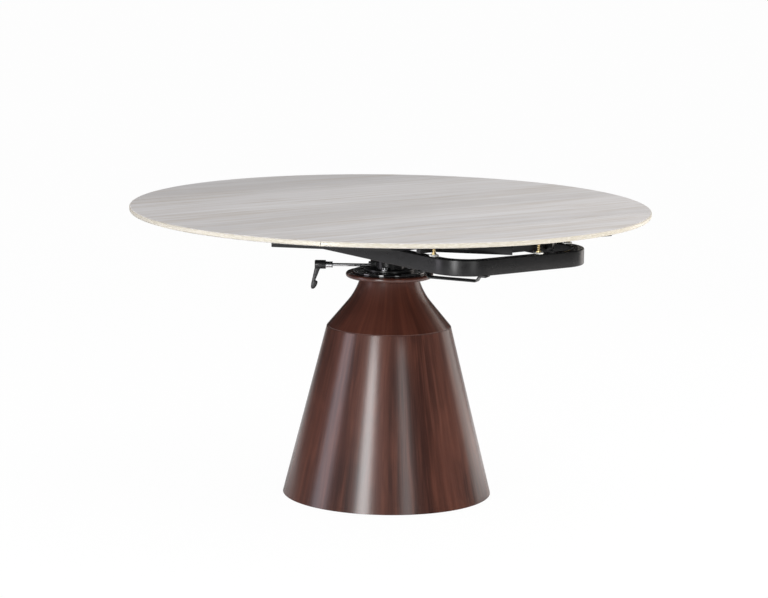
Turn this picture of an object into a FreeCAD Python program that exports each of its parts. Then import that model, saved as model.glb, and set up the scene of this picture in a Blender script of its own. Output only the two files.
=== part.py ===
"""Round dining table with two drop leaves, a turning top and a clamp lever, on a wooden cone pedestal.

Millimetres, +Z up. The origin is the centre of the footprint on the floor. +X runs along the two seams of
the top, and the near leaf lies on the -Y side.
"""
import FreeCAD, Part
import math
import os

import Sketcher
from FreeCAD import Placement, Rotation, Vector

# Driving dimensions in millimetres
SIZES = {
    # Stone top: a disc cut by two parallel seams
    "table_height": 760,
    "top_radius": 675,
    "slab_thickness": 12,
    "slab_edge_radius": 3,
    "slab_tip_ease": 1,
    "leaf_depth": 245,
    "seam_gap": 1.5,
    # Boards bonded under the stone
    "board_thickness": 6,
    "board_seam_setback": 6,
    "leaf_board_seam_length": 380,
    "leaf_board_end_length": 225,
    "leaf_board_end_setback": 55,
    # Steel frames under the boards
    "frame_height": 30,
    "frame_bar_width": 15,
    "middle_frame_end_setback": 184,
    "middle_frame_end_width": 178,
    "middle_frame_seam_length": 285,
    "middle_frame_setback": 36,
    "leaf_frame_end_length": 62.5,
    "leaf_frame_end_setback": 86,
    "leaf_frame_setback": 7,
    "leaf_frame_overhang": 18,
    "leaf_frame_bar_setback": 118,
    "loop_gap": 7,
    "rail_spacing": 150,
    "rail_width": 20,
    # Carrier, turning bearing and spindle
    "carrier_size": 220,
    "carrier_thickness": 6,
    "washer_radius": 80,
    "washer_thickness": 2,
    "bearing_plate_radius": 85,
    "bearing_plate_thickness": 3,
    "carrier_screw_row_length": 180,
    "carrier_screw_radius": 3,
    "carrier_screw_head_radius": 6,
    "carrier_screw_head_height": 3,
    "carrier_screw_depth": 14,
    "spindle_radius": 24,
    "spindle_end_gap": 4,
    "ring_thickness": 2.5,
    "ring_depth": 2.5,
    "ring_outer_radius": 27,
    # Support loop: one bent rectangular tube
    "loop_end_setback": 95,
    "loop_half_width": 222,
    "loop_corner_radius": 95,
    "tube_height": 40,
    "tube_width": 25,
    "tube_wall": 2,
    "crossbar_offset": 62,
    # Bent straps under two opposite corners of the loop
    "strap_width": 25,
    "strap_thickness": 4,
    "strap_drop": 13,
    "strap_side_setback": 155,
    "strap_end_setback": 90,
    "strap_foot": 10,
    "strap_bend": 8,
    # Hub, from the flange up to the hub plate
    "hub_height": 65,
    "hub_plate_length": 170,
    "hub_plate_width": 150,
    "hub_plate_thickness": 8,
    "hub_radius": 38,
    "hub_bore_radius": 28,
    "hub_foot_radius": 66,
    "hub_foot_thickness": 6,
    "bush_height": 20,
    "bush_gap": 1,
    "hub_bolt_circle_radius": 53,
    "hub_bolt_radius": 4,
    "hub_bolt_head_radius": 7.5,
    "hub_bolt_head_height": 6.5,
    "hub_bolt_washer_radius": 8.5,
    "hub_bolt_washer_thickness": 1.5,
    # Top flange
    "flange_setback": 19,
    "flange_thickness": 5,
    "flange_screw_setback": 15,
    "flange_screw_radius": 2.5,
    "flange_screw_head_radius": 5,
    "flange_screw_head_height": 2.5,
    "flange_screw_length": 11,
    # Clamp block, rod and lever
    "clamp_height": 12.5,
    "block_reach": 50,
    "block_inner_reach": 30,
    "block_width": 28,
    "block_height": 19,
    "boss_radius": 5.5,
    "boss_reach": 56,
    "block_screw_radius": 2.5,
    "block_screw_head_radius": 4,
    "block_screw_head_height": 5,
    "block_screw_side": 9.5,
    "block_screw_rise": 5,
    "block_screw_inner_reach": 31,
    "pad_radius": 6,
    "pad_length": 6.5,
    "rod_radius": 4,
    "rod_gap": 0.3,
    "stop_ring_radius": 8.5,
    "stop_ring_thickness": 1.5,
    "insert_reach": 150,
    "insert_radius": 8,
    "insert_length": 16,
    "insert_hub_radius": 5.5,
    "insert_hub_length": 12,
    "grip_radius": 11.5,
    "grip_length": 29,
    "grip_edge_radius": 2,
    "spring_chamber_radius": 7.5,
    "rod_depth": 14,
    "lever_screw_radius": 2.5,
    "lever_screw_head_radius": 7.2,
    "lever_screw_head_height": 3,
    "spring_length": 8,
    "arm_root_inner": 11,
    "arm_root_outer": 28.5,
    "arm_tip_inner": 22,
    "arm_tip_outer": 38,
    "arm_length": 64,
    "arm_width": 13,
    "arm_edge_radius": 4,
    # Glides: threaded studs with nylon feet that rest on the loop
    "glide_pad_radius": 12,
    "glide_pad_thickness": 4.7,
    "glide_stud_radius": 4,
    "glide_nut_radius": 7.5,
    "glide_nut_height": 8.5,
    "glide_side_setback": 38,
    "glide_end_place": 36,
    # Seam hinges
    "hinge_pitch": 160,
    "hinge_knuckle_length": 20,
    "hinge_barrel_radius": 3.5,
    "hinge_pin_radius": 1.75,
    "hinge_axis_drop": 4,
    "hinge_plate_thickness": 2,
    "hinge_fixed_plate_width": 17,
    "hinge_leaf_plate_height": 18,
    "hinge_leaf_plate_thickness": 1.5,
    "hinge_screw_radius": 1.5,
    "hinge_screw_head_radius": 3,
    "hinge_screw_head_height": 1,
    "hinge_screw_length": 5,
    "hinge_screw_side": 18,
    # Wooden neck
    "neck_height": 129,
    "cap_radius": 114,
    "cap_thickness": 12,
    "cap_edge_radius": 5,
    "neck_curve_height": 63,
    "neck_curve_width": 31,
    "neck_curve_radius": 170,
    "neck_slope_width": 53.5,
    "neck_foot_setback": 1.5,
    "neck_land": 2,
    # Wooden cone
    "shoulder_radius": 162,
    "base_radius": 272.5,
    "shell_wall": 12,
    "shoulder_board_thickness": 18,
    "base_ring_thickness": 18,
    "base_ring_width": 60.5,
    # Ballast, column and floor glides
    "glide_height": 3,
    "floor_glide_radius": 12,
    "floor_glide_setback": 32.5,
    "ballast_setback": 47.5,
    "ballast_thickness": 10,
    "ballast_screw_setback": 13,
    "ballast_screw_radius": 3,
    "ballast_screw_head_radius": 6,
    "ballast_screw_head_height": 3,
    "ballast_screw_depth": 12,
    "column_radius": 38,
    "column_wall": 3,
    "foot_radius": 80,
    "foot_thickness": 6,
    "foot_bolt_circle_radius": 60,
    "foot_bolt_radius": 5,
    "foot_bolt_head_radius": 9,
    "foot_bolt_head_height": 6.5,
    # Clearances
    "running_clearance": 0.05,
    "spindle_clearance": 0.6,
    "slide_clearance": 0.3,
    "wood_clearance": 0.2,
    "overrun": 2,
}

# Angles in degrees and counts
CLAMP_DIRECTION = 143.8
HUB_BOLT_DIRECTION = -140.5
HUB_BOLT_COUNT = 3
FLANGE_SCREW_COUNT = 6
FLANGE_SCREW_DIRECTION = 20
BALLAST_SCREW_COUNT = 6
FOOT_BOLT_COUNT = 4
FLOOR_GLIDE_COUNT = 6
HEX_SIDES = 6
HALF_TURN = 180
FULL_TURN = 360
QUARTER_TURN = 90

X_AXIS = Vector(1, 0, 0)
Y_AXIS = Vector(0, 1, 0)
Z_AXIS = Vector(0, 0, 1)


class Size:
    """A length that knows its value and the expression that it is bound with."""

    def __init__(self, value, text):
        self.value = value
        self.text = text

    def _join(self, other, sign, value, swap=False):
        left, right = (text_of(other), self.text) if swap else (self.text, text_of(other))
        return Size(value, "(%s %s %s)" % (left, sign, right))

    def __add__(self, other):
        return self._join(other, "+", self.value + value_of(other))

    def __radd__(self, other):
        return self._join(other, "+", value_of(other) + self.value, swap=True)

    def __sub__(self, other):
        return self._join(other, "-", self.value - value_of(other))

    def __rsub__(self, other):
        return self._join(other, "-", value_of(other) - self.value, swap=True)

    def __mul__(self, other):
        return self._join(other, "*", self.value * value_of(other))

    def __rmul__(self, other):
        return self._join(other, "*", value_of(other) * self.value, swap=True)

    def __truediv__(self, other):
        return self._join(other, "/", self.value / value_of(other))

    def __neg__(self):
        return Size(-self.value, "(-1 * %s)" % self.text)


def value_of(length):
    """Returns the plain number of a Size or of a number."""
    return length.value if isinstance(length, Size) else length


def text_of(length):
    """Returns the expression of a Size or of a number."""
    if isinstance(length, Size):
        return length.text
    return "(%r)" % length


def root(length):
    """Returns the square root of a Size."""
    return Size(math.sqrt(length.value), "sqrt(%s)" % length.text)


def hypotenuse(one, other):
    """Returns the longest side of a right triangle."""
    return root(one * one + other * other)


class Dimensions:
    """The spreadsheet of driving dimensions, read by name."""

    def __init__(self, document, sizes):
        sheet = document.addObject("Spreadsheet::Sheet", "Sizes")
        for row, (name, value) in enumerate(sizes.items(), start=1):
            sheet.set("A%d" % row, name)
            sheet.set("B%d" % row, str(value))
            sheet.setAlias("B%d" % row, name)
        document.recompute()
        for name, value in sizes.items():
            setattr(self, name, Size(float(value), "Sizes.%s" % name))


doc = FreeCAD.newDocument("round_dining_table")
d = Dimensions(doc, SIZES)
nodes = []


# Shape helpers


def bind(thing, **properties):
    """Binds each named property of an object to a length."""
    for name, length in properties.items():
        thing.setExpression(name, text_of(length))


def place(thing, at=(0, 0, 0), rotation=None):
    """Turns an object and binds its place to three lengths."""
    if rotation is not None:
        thing.Placement = Placement(Vector(), rotation)
    for axis, length in zip("xyz", at):
        if length != 0:
            thing.setExpression("Placement.Base.%s" % axis, text_of(length))
    return thing


def about(axis, degrees):
    """Returns a rotation about an axis."""
    return Rotation(axis, degrees)


def polar(radius, degrees, height=0):
    """Returns a place at a radius and a direction about the Z axis."""
    turn = math.radians(degrees)
    return (radius * math.cos(turn), radius * math.sin(turn), height)


def box(name, size, low):
    """Makes a box from its three lengths and its lowest corner."""
    thing = doc.addObject("Part::Box", name)
    bind(thing, Length=size[0], Width=size[1], Height=size[2])
    return place(thing, low)


def cylinder(name, radius, height, at=(0, 0, 0), rotation=None):
    """Makes a cylinder that stands on a place."""
    thing = doc.addObject("Part::Cylinder", name)
    bind(thing, Radius=radius, Height=height)
    return place(thing, at, rotation)


def cone(name, low_radius, high_radius, height, at=(0, 0, 0), rotation=None):
    """Makes a cut cone that stands on a place."""
    thing = doc.addObject("Part::Cone", name)
    bind(thing, Radius1=low_radius, Radius2=high_radius, Height=height)
    return place(thing, at, rotation)


def hexagon(name, radius, height, at=(0, 0, 0), rotation=None):
    """Makes a hexagonal prism that stands on a place."""
    thing = doc.addObject("Part::Prism", name)
    thing.Polygon = HEX_SIDES
    bind(thing, Circumradius=radius, Height=height)
    return place(thing, at, rotation)


def cut(name, base, tools, rotation=None):
    """Cuts one or more tools out of a base, one after the other."""
    for index, tool in enumerate(tools):
        thing = doc.addObject("Part::Cut", "%s_cut_%d" % (name, index))
        thing.Base = base
        thing.Tool = tool
        base = thing
    return place(base, rotation=rotation)


def fuse(name, pieces, rotation=None):
    """Joins pieces that the real part has as one."""
    thing = doc.addObject("Part::MultiFuse", name + "_fuse")
    thing.Shapes = pieces
    return place(thing, rotation=rotation)


def group(name, pieces, rotation=None):
    """Keeps several separate solids as one node."""
    thing = doc.addObject("Part::Compound", name + "_group")
    thing.Links = pieces
    return place(thing, rotation=rotation)


def node(name, thing):
    """Names a finished sub-part."""
    thing.Label = name
    nodes.append(thing)
    return thing


def arc_between(start, end, radius, side):
    """Returns the arc between two points, whose centre lies on the given side of the run."""
    run = end.sub(start)
    normal = Vector(-run.y, run.x, 0).normalize() * side
    rise = math.sqrt(radius ** 2 - (run.Length / 2) ** 2)
    centre = (start + end) * 0.5 + normal * rise
    first, last = (start, end) if side > 0 else (end, start)
    opening = math.atan2(first.y - centre.y, first.x - centre.x)
    closing = math.atan2(last.y - centre.y, last.x - centre.x)
    if closing < opening:
        closing += math.radians(FULL_TURN)
    return Part.ArcOfCircle(Part.Circle(centre, Z_AXIS, radius), opening, closing)


def pin_point(sketch, geometry, position, x, y):
    """Binds a sketch point's two coordinates."""
    for kind, axis, length in (("DistanceX", -2, x), ("DistanceY", -1, y)):
        if value_of(length) == 0:
            sketch.addConstraint(Sketcher.Constraint("PointOnObject", geometry, position, axis))
            continue
        rule = Sketcher.Constraint(kind, -1, 1, geometry, position, value_of(length))
        index = sketch.addConstraint(rule)
        sketch.setExpression("Constraints[%d]" % index, text_of(length))


def sketched(body, role, outline):
    """Draws a closed outline on one of a body's own planes.

    Each corner is (x, y), or (x, y, radius, side) where an arc runs from it to the next corner.
    """
    sketch = body.newObject("Sketcher::SketchObject", body.Name + "_sketch")
    plane = next(item for item in body.Origin.OriginFeatures if item.Role == role)
    sketch.AttachmentSupport = [(plane, "")]
    sketch.MapMode = "FlatFace"
    corners = [Vector(value_of(corner[0]), value_of(corner[1]), 0) for corner in outline]
    ends = []
    for index, corner in enumerate(outline):
        start = corners[index]
        end = corners[(index + 1) % len(corners)]
        if len(corner) == 2:
            geometry = sketch.addGeometry(Part.LineSegment(start, end))
            ends.append((geometry, 1, 2))
            continue
        radius, side = corner[2:]
        geometry = sketch.addGeometry(arc_between(start, end, value_of(radius), side))
        ends.append((geometry, 1, 2) if side > 0 else (geometry, 2, 1))
        rule = sketch.addConstraint(Sketcher.Constraint("Radius", geometry, value_of(radius)))
        sketch.setExpression("Constraints[%d]" % rule, text_of(radius))
    for index, (geometry, start, end) in enumerate(ends):
        following = ends[(index + 1) % len(ends)]
        sketch.addConstraint(Sketcher.Constraint("Coincident", geometry, end, following[0], following[1]))
        pin_point(sketch, geometry, start, outline[index][0], outline[index][1])
    return sketch


def turned(name, outline, rotation=None):
    """Makes a body by turning an outline of (radius, height) corners about the Z axis."""
    body = doc.addObject("PartDesign::Body", name + "_body")
    sketch = sketched(body, "XZ_Plane", outline)
    turn = body.newObject("PartDesign::Revolution", name + "_turn")
    turn.Profile = sketch
    turn.ReferenceAxis = (sketch, ["V_Axis"])
    turn.Angle = FULL_TURN
    sketch.Visibility = False
    return place(body, rotation=rotation)


def padded(name, outline, thickness, at=(0, 0, 0), rotation=None, role="XY_Plane", centred=False):
    """Makes a body by padding an outline."""
    body = doc.addObject("PartDesign::Body", name + "_body")
    sketch = sketched(body, role, outline)
    pad = body.newObject("PartDesign::Pad", name + "_pad")
    pad.Profile = sketch
    if centred:
        pad.SideType = "Symmetric"
    bind(pad, Length=thickness)
    return place(body, at, rotation)


def rounded(body, radius, chosen):
    """Rounds the edges of a body's last feature that a test chooses."""
    doc.recompute()
    base = body.Tip
    edges = ["Edge%d" % (index + 1) for index, edge in enumerate(base.Shape.Edges) if chosen(edge)]
    fillet = body.newObject("PartDesign::Fillet", body.Name + "_round")
    fillet.Base = (base, edges)
    bind(fillet, Radius=radius)
    return body


def eased(body, size, chosen):
    """Chamfers the edges of a body's last feature that a test chooses."""
    doc.recompute()
    base = body.Tip
    edges = ["Edge%d" % (index + 1) for index, edge in enumerate(base.Shape.Edges) if chosen(edge)]
    chamfer = body.newObject("PartDesign::Chamfer", body.Name + "_ease")
    chamfer.Base = (base, edges)
    bind(chamfer, Size=size)
    return body


def upright(edge):
    """Says whether an edge runs along Z."""
    run = edge.lastVertex().Point.sub(edge.firstVertex().Point)
    return run.Length > 0 and abs(run.z) > 0.99 * run.Length


def screw(name, radius, length, head_radius, head_height, at, rotation=None):
    """Makes a countersunk screw, its head at the place and its shank running along local -Z."""
    shank = cylinder(name + "_shank", radius, length, (0, 0, -length))
    head = cone(name + "_head", radius, head_radius, head_height, (0, 0, -head_height))
    thing = fuse(name, [shank, head])
    return place(thing, at, rotation)


# Heights, from the top down

slab_bottom = d.table_height - d.slab_thickness
board_bottom = slab_bottom - d.board_thickness
frame_bottom = board_bottom - d.frame_height
loop_top = frame_bottom - d.loop_gap
bearing_plate_top = loop_top + d.bearing_plate_thickness
washer_top = bearing_plate_top + d.washer_thickness
carrier_top = washer_top + d.carrier_thickness
loop_bottom = loop_top - d.tube_height
hub_plate_bottom = loop_bottom - d.hub_plate_thickness
flange_top = hub_plate_bottom - d.hub_height
cap_top = flange_top - d.flange_thickness
neck_top = cap_top - d.cap_thickness
neck_break_height = neck_top - d.neck_curve_height
shoulder_height = neck_top - d.neck_height
foot_top = flange_top + d.hub_foot_thickness
clamp_axis = flange_top + d.clamp_height
ring_top = d.glide_height + d.base_ring_thickness
ballast_top = ring_top + d.ballast_thickness
column_bottom = ballast_top + d.foot_thickness
lower_bush_bottom = hub_plate_bottom - 2 * d.bush_height - d.bush_gap

# Places in plan, from the middle outwards

seam = d.top_radius - d.leaf_depth
middle_frame_length = d.top_radius - d.middle_frame_end_setback
middle_frame_width = seam - d.middle_frame_setback
leaf_board_depth = d.top_radius - d.leaf_board_end_setback
leaf_frame_depth = d.top_radius - d.leaf_frame_end_setback
leaf_frame_seam_length = d.loop_half_width - d.frame_bar_width
seam_bar_length = d.loop_half_width + d.leaf_frame_overhang
leaf_frame_bar_depth = d.top_radius - d.leaf_frame_bar_setback
loop_half_length = d.top_radius - d.loop_end_setback
glide_side_place = seam + d.glide_side_setback

# Radii of the pedestal and of the holes that the spindle and the column pass through

flange_radius = d.cap_radius - d.flange_setback
flange_screw_circle = flange_radius - d.flange_screw_setback
neck_foot_radius = d.shoulder_radius - d.neck_foot_setback
neck_break_radius = neck_foot_radius - d.neck_slope_width
neck_waist_radius = neck_break_radius - d.neck_curve_width
base_ring_inner_radius = d.base_radius - d.shell_wall - d.base_ring_width
floor_glide_circle = d.base_radius - d.floor_glide_setback
ballast_radius = d.base_radius - d.ballast_setback
ballast_screw_circle = ballast_radius - d.ballast_screw_setback
spindle_hole = d.spindle_radius + d.spindle_clearance
column_hole = d.column_radius + d.wood_clearance


def shell_inner_radius(height):
    """Returns the cone shell's inner radius at a height."""
    taper = (d.base_radius - d.shoulder_radius) / (shoulder_height - d.glide_height)
    return d.base_radius - d.shell_wall - taper * (height - d.glide_height)


def bore(name, radius, low, height):
    """Makes a round tool on the Z axis that runs past both ends of a hole."""
    return cylinder(name + "_bore", radius, height + 2 * d.overrun, (0, 0, low - d.overrun))


def ringed(name, outer, inner, thickness, low):
    """Pads an outline with another one cut out of its middle."""
    body = padded(name + "_outer", outer, thickness, (0, 0, low))
    hole = padded(name + "_inner", inner, thickness + 2 * d.overrun, (0, 0, low - d.overrun))
    return cut(name, body, [hole])


def mirrored(corners):
    """Completes a quarter outline, given anticlockwise in the +X +Y corner, to all four corners."""
    left = [(-x, y) for x, y in reversed(corners)]
    below = [(-x, -y) for x, y in corners]
    right = [(x, -y) for x, y in reversed(corners)]
    return corners + left + below + right


# Wooden cone, its boards, ballast and column


def floor_glides():
    """Nylon discs that the table stands on."""
    glides = []
    for index in range(FLOOR_GLIDE_COUNT):
        spot = polar(floor_glide_circle, index * FULL_TURN / FLOOR_GLIDE_COUNT)
        glides.append(cylinder("floor_glide_%d" % index, d.floor_glide_radius, d.glide_height, spot))
    node("floor_glides", group("floor_glides", glides))


def cone_shell():
    """Veneered shell, a cut cone with an even wall."""
    height = shoulder_height - d.glide_height
    low = (0, 0, d.glide_height)
    outside = cone("cone_outside", d.base_radius, d.shoulder_radius, height, low)
    foot = shell_inner_radius(d.glide_height - d.overrun)
    top = shell_inner_radius(shoulder_height + d.overrun)
    inside = cone("cone_inside", foot, top, height + 2 * d.overrun, (0, 0, d.glide_height - d.overrun))
    node("cone_shell", cut("cone_shell", outside, [inside]))


def base_ring():
    """Plywood ring inside the foot of the cone."""
    low = shell_inner_radius(d.glide_height)
    high = shell_inner_radius(ring_top)
    ring = cone("base_ring_blank", low, high, d.base_ring_thickness, (0, 0, d.glide_height))
    hole = bore("base_ring", base_ring_inner_radius, d.glide_height, d.base_ring_thickness)
    node("base_ring", cut("base_ring", ring, [hole, ballast_screws]))


def make_ballast_screws():
    """Countersunk screws that hold the ballast to the base ring."""
    screws = []
    for index in range(BALLAST_SCREW_COUNT):
        spot = polar(ballast_screw_circle, index * FULL_TURN / BALLAST_SCREW_COUNT, ballast_top)
        screws.append(screw("ballast_screw_%d" % index, d.ballast_screw_radius,
                            d.ballast_thickness + d.ballast_screw_depth, d.ballast_screw_head_radius,
                            d.ballast_screw_head_height, spot))
    return node("ballast_screws", group("ballast_screws", screws))


def hex_bolt(name, radius, length, head_radius, head_height, at):
    """Makes a hexagon bolt, its head standing on the place and its shank running down."""
    shank = cylinder(name + "_shank", radius, length, (0, 0, -length))
    head = hexagon(name + "_head", head_radius, head_height)
    return place(fuse(name, [shank, head]), at)


def make_foot_bolts():
    """Bolts that hold the column's foot to the ballast."""
    bolts = []
    for index in range(FOOT_BOLT_COUNT):
        spot = polar(d.foot_bolt_circle_radius, index * FULL_TURN / FOOT_BOLT_COUNT, column_bottom)
        bolts.append(hex_bolt("foot_bolt_%d" % index, d.foot_bolt_radius,
                              d.foot_thickness + d.ballast_thickness, d.foot_bolt_head_radius,
                              d.foot_bolt_head_height, spot))
    return node("foot_bolts", group("foot_bolts", bolts))


def ballast_and_column():
    """Steel ballast disc, the column's foot and the column tube."""
    disc = cylinder("ballast_disc", ballast_radius, d.ballast_thickness, (0, 0, ring_top))
    node("ballast_plate", cut("ballast_plate", disc, [ballast_screws, foot_bolts]))
    foot = cylinder("column_foot_disc", d.foot_radius, d.foot_thickness, (0, 0, ballast_top))
    node("column_foot", cut("column_foot", foot, [foot_bolts]))
    height = cap_top - column_bottom
    tube = cylinder("column_outside", d.column_radius, height, (0, 0, column_bottom))
    inside = bore("column_tube", d.column_radius - d.column_wall, column_bottom, height)
    node("column_tube", cut("column_tube", tube, [inside]))


def shoulder_board():
    """Plywood disc that closes the top of the cone and carries the neck."""
    low = shoulder_height - d.shoulder_board_thickness
    disc = cone("shoulder_disc", shell_inner_radius(low), shell_inner_radius(shoulder_height),
                d.shoulder_board_thickness, (0, 0, low))
    hole = bore("shoulder_board", column_hole, low, d.shoulder_board_thickness)
    node("shoulder_board", cut("shoulder_board", disc, [hole]))


def neck():
    """Turned neck: a short land, a straight cone and a hollow curve up to the cap."""
    outline = [
        (column_hole, shoulder_height),
        (neck_foot_radius, shoulder_height),
        (neck_foot_radius, shoulder_height + d.neck_land),
        (neck_break_radius, neck_break_height, d.neck_curve_radius, -1),
        (neck_waist_radius, neck_top),
        (column_hole, neck_top),
    ]
    node("neck", turned("neck", outline))


def neck_cap():
    """Round wooden cap with a soft rim."""
    low = neck_top
    rim = d.cap_radius - d.cap_edge_radius
    outline = [
        (column_hole, low),
        (rim, low, d.cap_edge_radius, 1),
        (d.cap_radius, low + d.cap_edge_radius),
        (d.cap_radius, cap_top - d.cap_edge_radius, d.cap_edge_radius, 1),
        (rim, cap_top),
        (column_hole, cap_top),
    ]
    node("neck_cap", cut("neck_cap", turned("neck_cap", outline), [flange_screws]))


# Flange and hub


def make_flange_screws():
    """Countersunk screws that hold the flange to the wooden cap."""
    screws = []
    for index in range(FLANGE_SCREW_COUNT):
        direction = FLANGE_SCREW_DIRECTION + index * FULL_TURN / FLANGE_SCREW_COUNT
        spot = polar(flange_screw_circle, direction, flange_top)
        screws.append(screw("flange_screw_%d" % index, d.flange_screw_radius, d.flange_screw_length,
                            d.flange_screw_head_radius, d.flange_screw_head_height, spot))
    return node("flange_screws", group("flange_screws", screws))


def make_hub_bolts():
    """Hexagon bolts with washers that hold the hub to the flange."""
    bolts = []
    for index in range(HUB_BOLT_COUNT):
        name = "hub_bolt_%d" % index
        direction = HUB_BOLT_DIRECTION + index * FULL_TURN / HUB_BOLT_COUNT
        length = d.flange_thickness + d.hub_foot_thickness
        shank = cylinder(name + "_shank", d.hub_bolt_radius, length, (0, 0, -length))
        washer = cylinder(name + "_washer", d.hub_bolt_washer_radius, d.hub_bolt_washer_thickness)
        head = hexagon(name + "_head", d.hub_bolt_head_radius, d.hub_bolt_head_height,
                       (0, 0, d.hub_bolt_washer_thickness))
        bolt = fuse(name, [shank, washer, head])
        bolts.append(place(bolt, polar(d.hub_bolt_circle_radius, direction, foot_top)))
    return node("hub_bolts", group("hub_bolts", bolts))


def top_flange():
    """Steel flange welded to the column, on the cap."""
    disc = cylinder("flange_disc", flange_radius, d.flange_thickness, (0, 0, cap_top))
    node("top_flange", cut("top_flange", disc, [flange_screws, hub_bolts]))


def hub_housing():
    """Hub barrel with its foot and its bore."""
    outline = [
        (d.hub_bore_radius, flange_top),
        (d.hub_foot_radius, flange_top),
        (d.hub_foot_radius, foot_top),
        (d.hub_radius, foot_top),
        (d.hub_radius, hub_plate_bottom),
        (d.hub_bore_radius, hub_plate_bottom),
    ]
    barrel = turned("hub_barrel", outline)
    hole = along_rod("pad_way", d.pad_radius + d.running_clearance, d.spindle_radius, d.block_reach)
    ways = group("hub_ways", [hole], about(Z_AXIS, CLAMP_DIRECTION))
    node("hub_housing", cut("hub_housing", barrel, [ways, hub_bolts, block_screws]))


def bushes():
    """Two plain bushes that the spindle turns in."""
    places = {
        "lower_bush": lower_bush_bottom,
        "upper_bush": hub_plate_bottom - d.bush_height,
    }
    for name, low in places.items():
        blank = cylinder(name + "_blank", d.hub_bore_radius, d.bush_height, (0, 0, low))
        hole = bore(name, d.spindle_radius + d.running_clearance, low, d.bush_height)
        node(name, cut(name, blank, [hole]))


def hub_plate():
    """Square plate on the hub that the crossbars are welded to."""
    low = (-d.hub_plate_length / 2, -d.hub_plate_width / 2, hub_plate_bottom)
    plate = box("hub_plate_blank", (d.hub_plate_length, d.hub_plate_width, d.hub_plate_thickness), low)
    hole = bore("hub_plate", spindle_hole, hub_plate_bottom, d.hub_plate_thickness)
    node("hub_plate", cut("hub_plate", plate, [hole]))


# Clamp: block, pad, rod and lever, drawn along +X and turned to their direction


def along_rod(name, radius, start, end, side=0, rise=0):
    """Makes a cylinder along the clamp rod between two reaches."""
    return cylinder(name, radius, end - start, (start, side, clamp_axis + rise), about(Y_AXIS, QUARTER_TURN))


def make_block_screws():
    """Cap screws that hold the clamp block to the hub."""
    screws = []
    for index, side in enumerate((-1, 1)):
        name = "block_screw_%d" % index
        across = side * d.block_screw_side
        shank = along_rod(name + "_shank", d.block_screw_radius, d.block_screw_inner_reach, d.block_reach,
                          across, d.block_screw_rise)
        head = along_rod(name + "_head", d.block_screw_head_radius, d.block_reach,
                         d.block_reach + d.block_screw_head_height, across, d.block_screw_rise)
        screws.append(fuse(name, [shank, head]))
    return node("block_screws", group("block_screws", screws, about(Z_AXIS, CLAMP_DIRECTION)))


def clamp_block():
    """Block on the hub with the threaded hole of the clamp rod."""
    length = d.block_reach - d.block_inner_reach
    low = (d.block_inner_reach, -d.block_width / 2, foot_top)
    blank = box("block_blank", (length, d.block_width, d.block_height), low)
    boss = along_rod("block_boss", d.boss_radius, d.block_inner_reach, d.boss_reach)
    body = fuse("block_body", [blank, boss])
    barrel = cylinder("block_seat", d.hub_radius, d.block_height + 2 * d.overrun,
                      (0, 0, foot_top - d.overrun))
    thread = along_rod("block_thread", d.rod_radius + d.running_clearance, d.block_inner_reach,
                       d.boss_reach + d.overrun)
    pad_end = along_rod("block_pad_way", d.pad_radius + d.running_clearance, d.block_inner_reach,
                        d.hub_radius)
    shaped = cut("block_shape", body, [barrel, thread, pad_end], about(Z_AXIS, CLAMP_DIRECTION))
    node("clamp_block", cut("clamp_block", shaped, [block_screws]))


def clamp_pad():
    """Brass pad between the rod and the spindle."""
    start = d.spindle_radius + d.slide_clearance
    pad = along_rod("pad_blank", d.pad_radius, start, start + d.pad_length)
    node("clamp_pad", group("clamp_pad", [pad], about(Z_AXIS, CLAMP_DIRECTION)))


def clamp_rod():
    """Threaded rod from the pad into the lever's insert."""
    start = d.spindle_radius + d.slide_clearance + d.pad_length + d.rod_gap
    rod = along_rod("rod_shaft", d.rod_radius, start, rod_end)
    node("clamp_rod", group("clamp_rod", [rod], about(Z_AXIS, CLAMP_DIRECTION)))


def stop_ring():
    """Thin black washer behind the lever's insert."""
    start = d.insert_reach - d.stop_ring_thickness
    ring = along_rod("stop_ring_blank", d.stop_ring_radius, start, d.insert_reach)
    hole = along_rod("stop_ring_hole", d.rod_radius, start - d.overrun, d.insert_reach + d.overrun)
    node("stop_ring", cut("stop_ring", ring, [hole], about(Z_AXIS, CLAMP_DIRECTION)))


def lever_insert():
    """Steel insert on the rod, whose hub drives the lever and holds its end screw."""
    collar = along_rod("insert_collar", d.insert_radius, d.insert_reach, grip_start)
    hub = along_rod("insert_hub", d.insert_hub_radius, grip_start, hub_end)
    rod_hole = along_rod("insert_rod_hole", d.rod_radius, d.insert_reach - d.overrun, rod_end)
    screw_hole = along_rod("insert_screw_hole", d.lever_screw_radius, rod_end - d.overrun,
                           hub_end + d.overrun)
    body = fuse("insert_body", [collar, hub])
    node("lever_insert", cut("lever_insert", body, [rod_hole, screw_hole], about(Z_AXIS, CLAMP_DIRECTION)))


def lever_screw():
    """Screw in the end of the insert that keeps the lever on."""
    head_start = hub_end + d.spring_length
    shank = along_rod("lever_screw_shank", d.lever_screw_radius, rod_end, head_start)
    head = along_rod("lever_screw_head", d.lever_screw_head_radius, head_start,
                     head_start + d.lever_screw_head_height)
    node("lever_screw", fuse("lever_screw", [shank, head], about(Z_AXIS, CLAMP_DIRECTION)))


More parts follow.
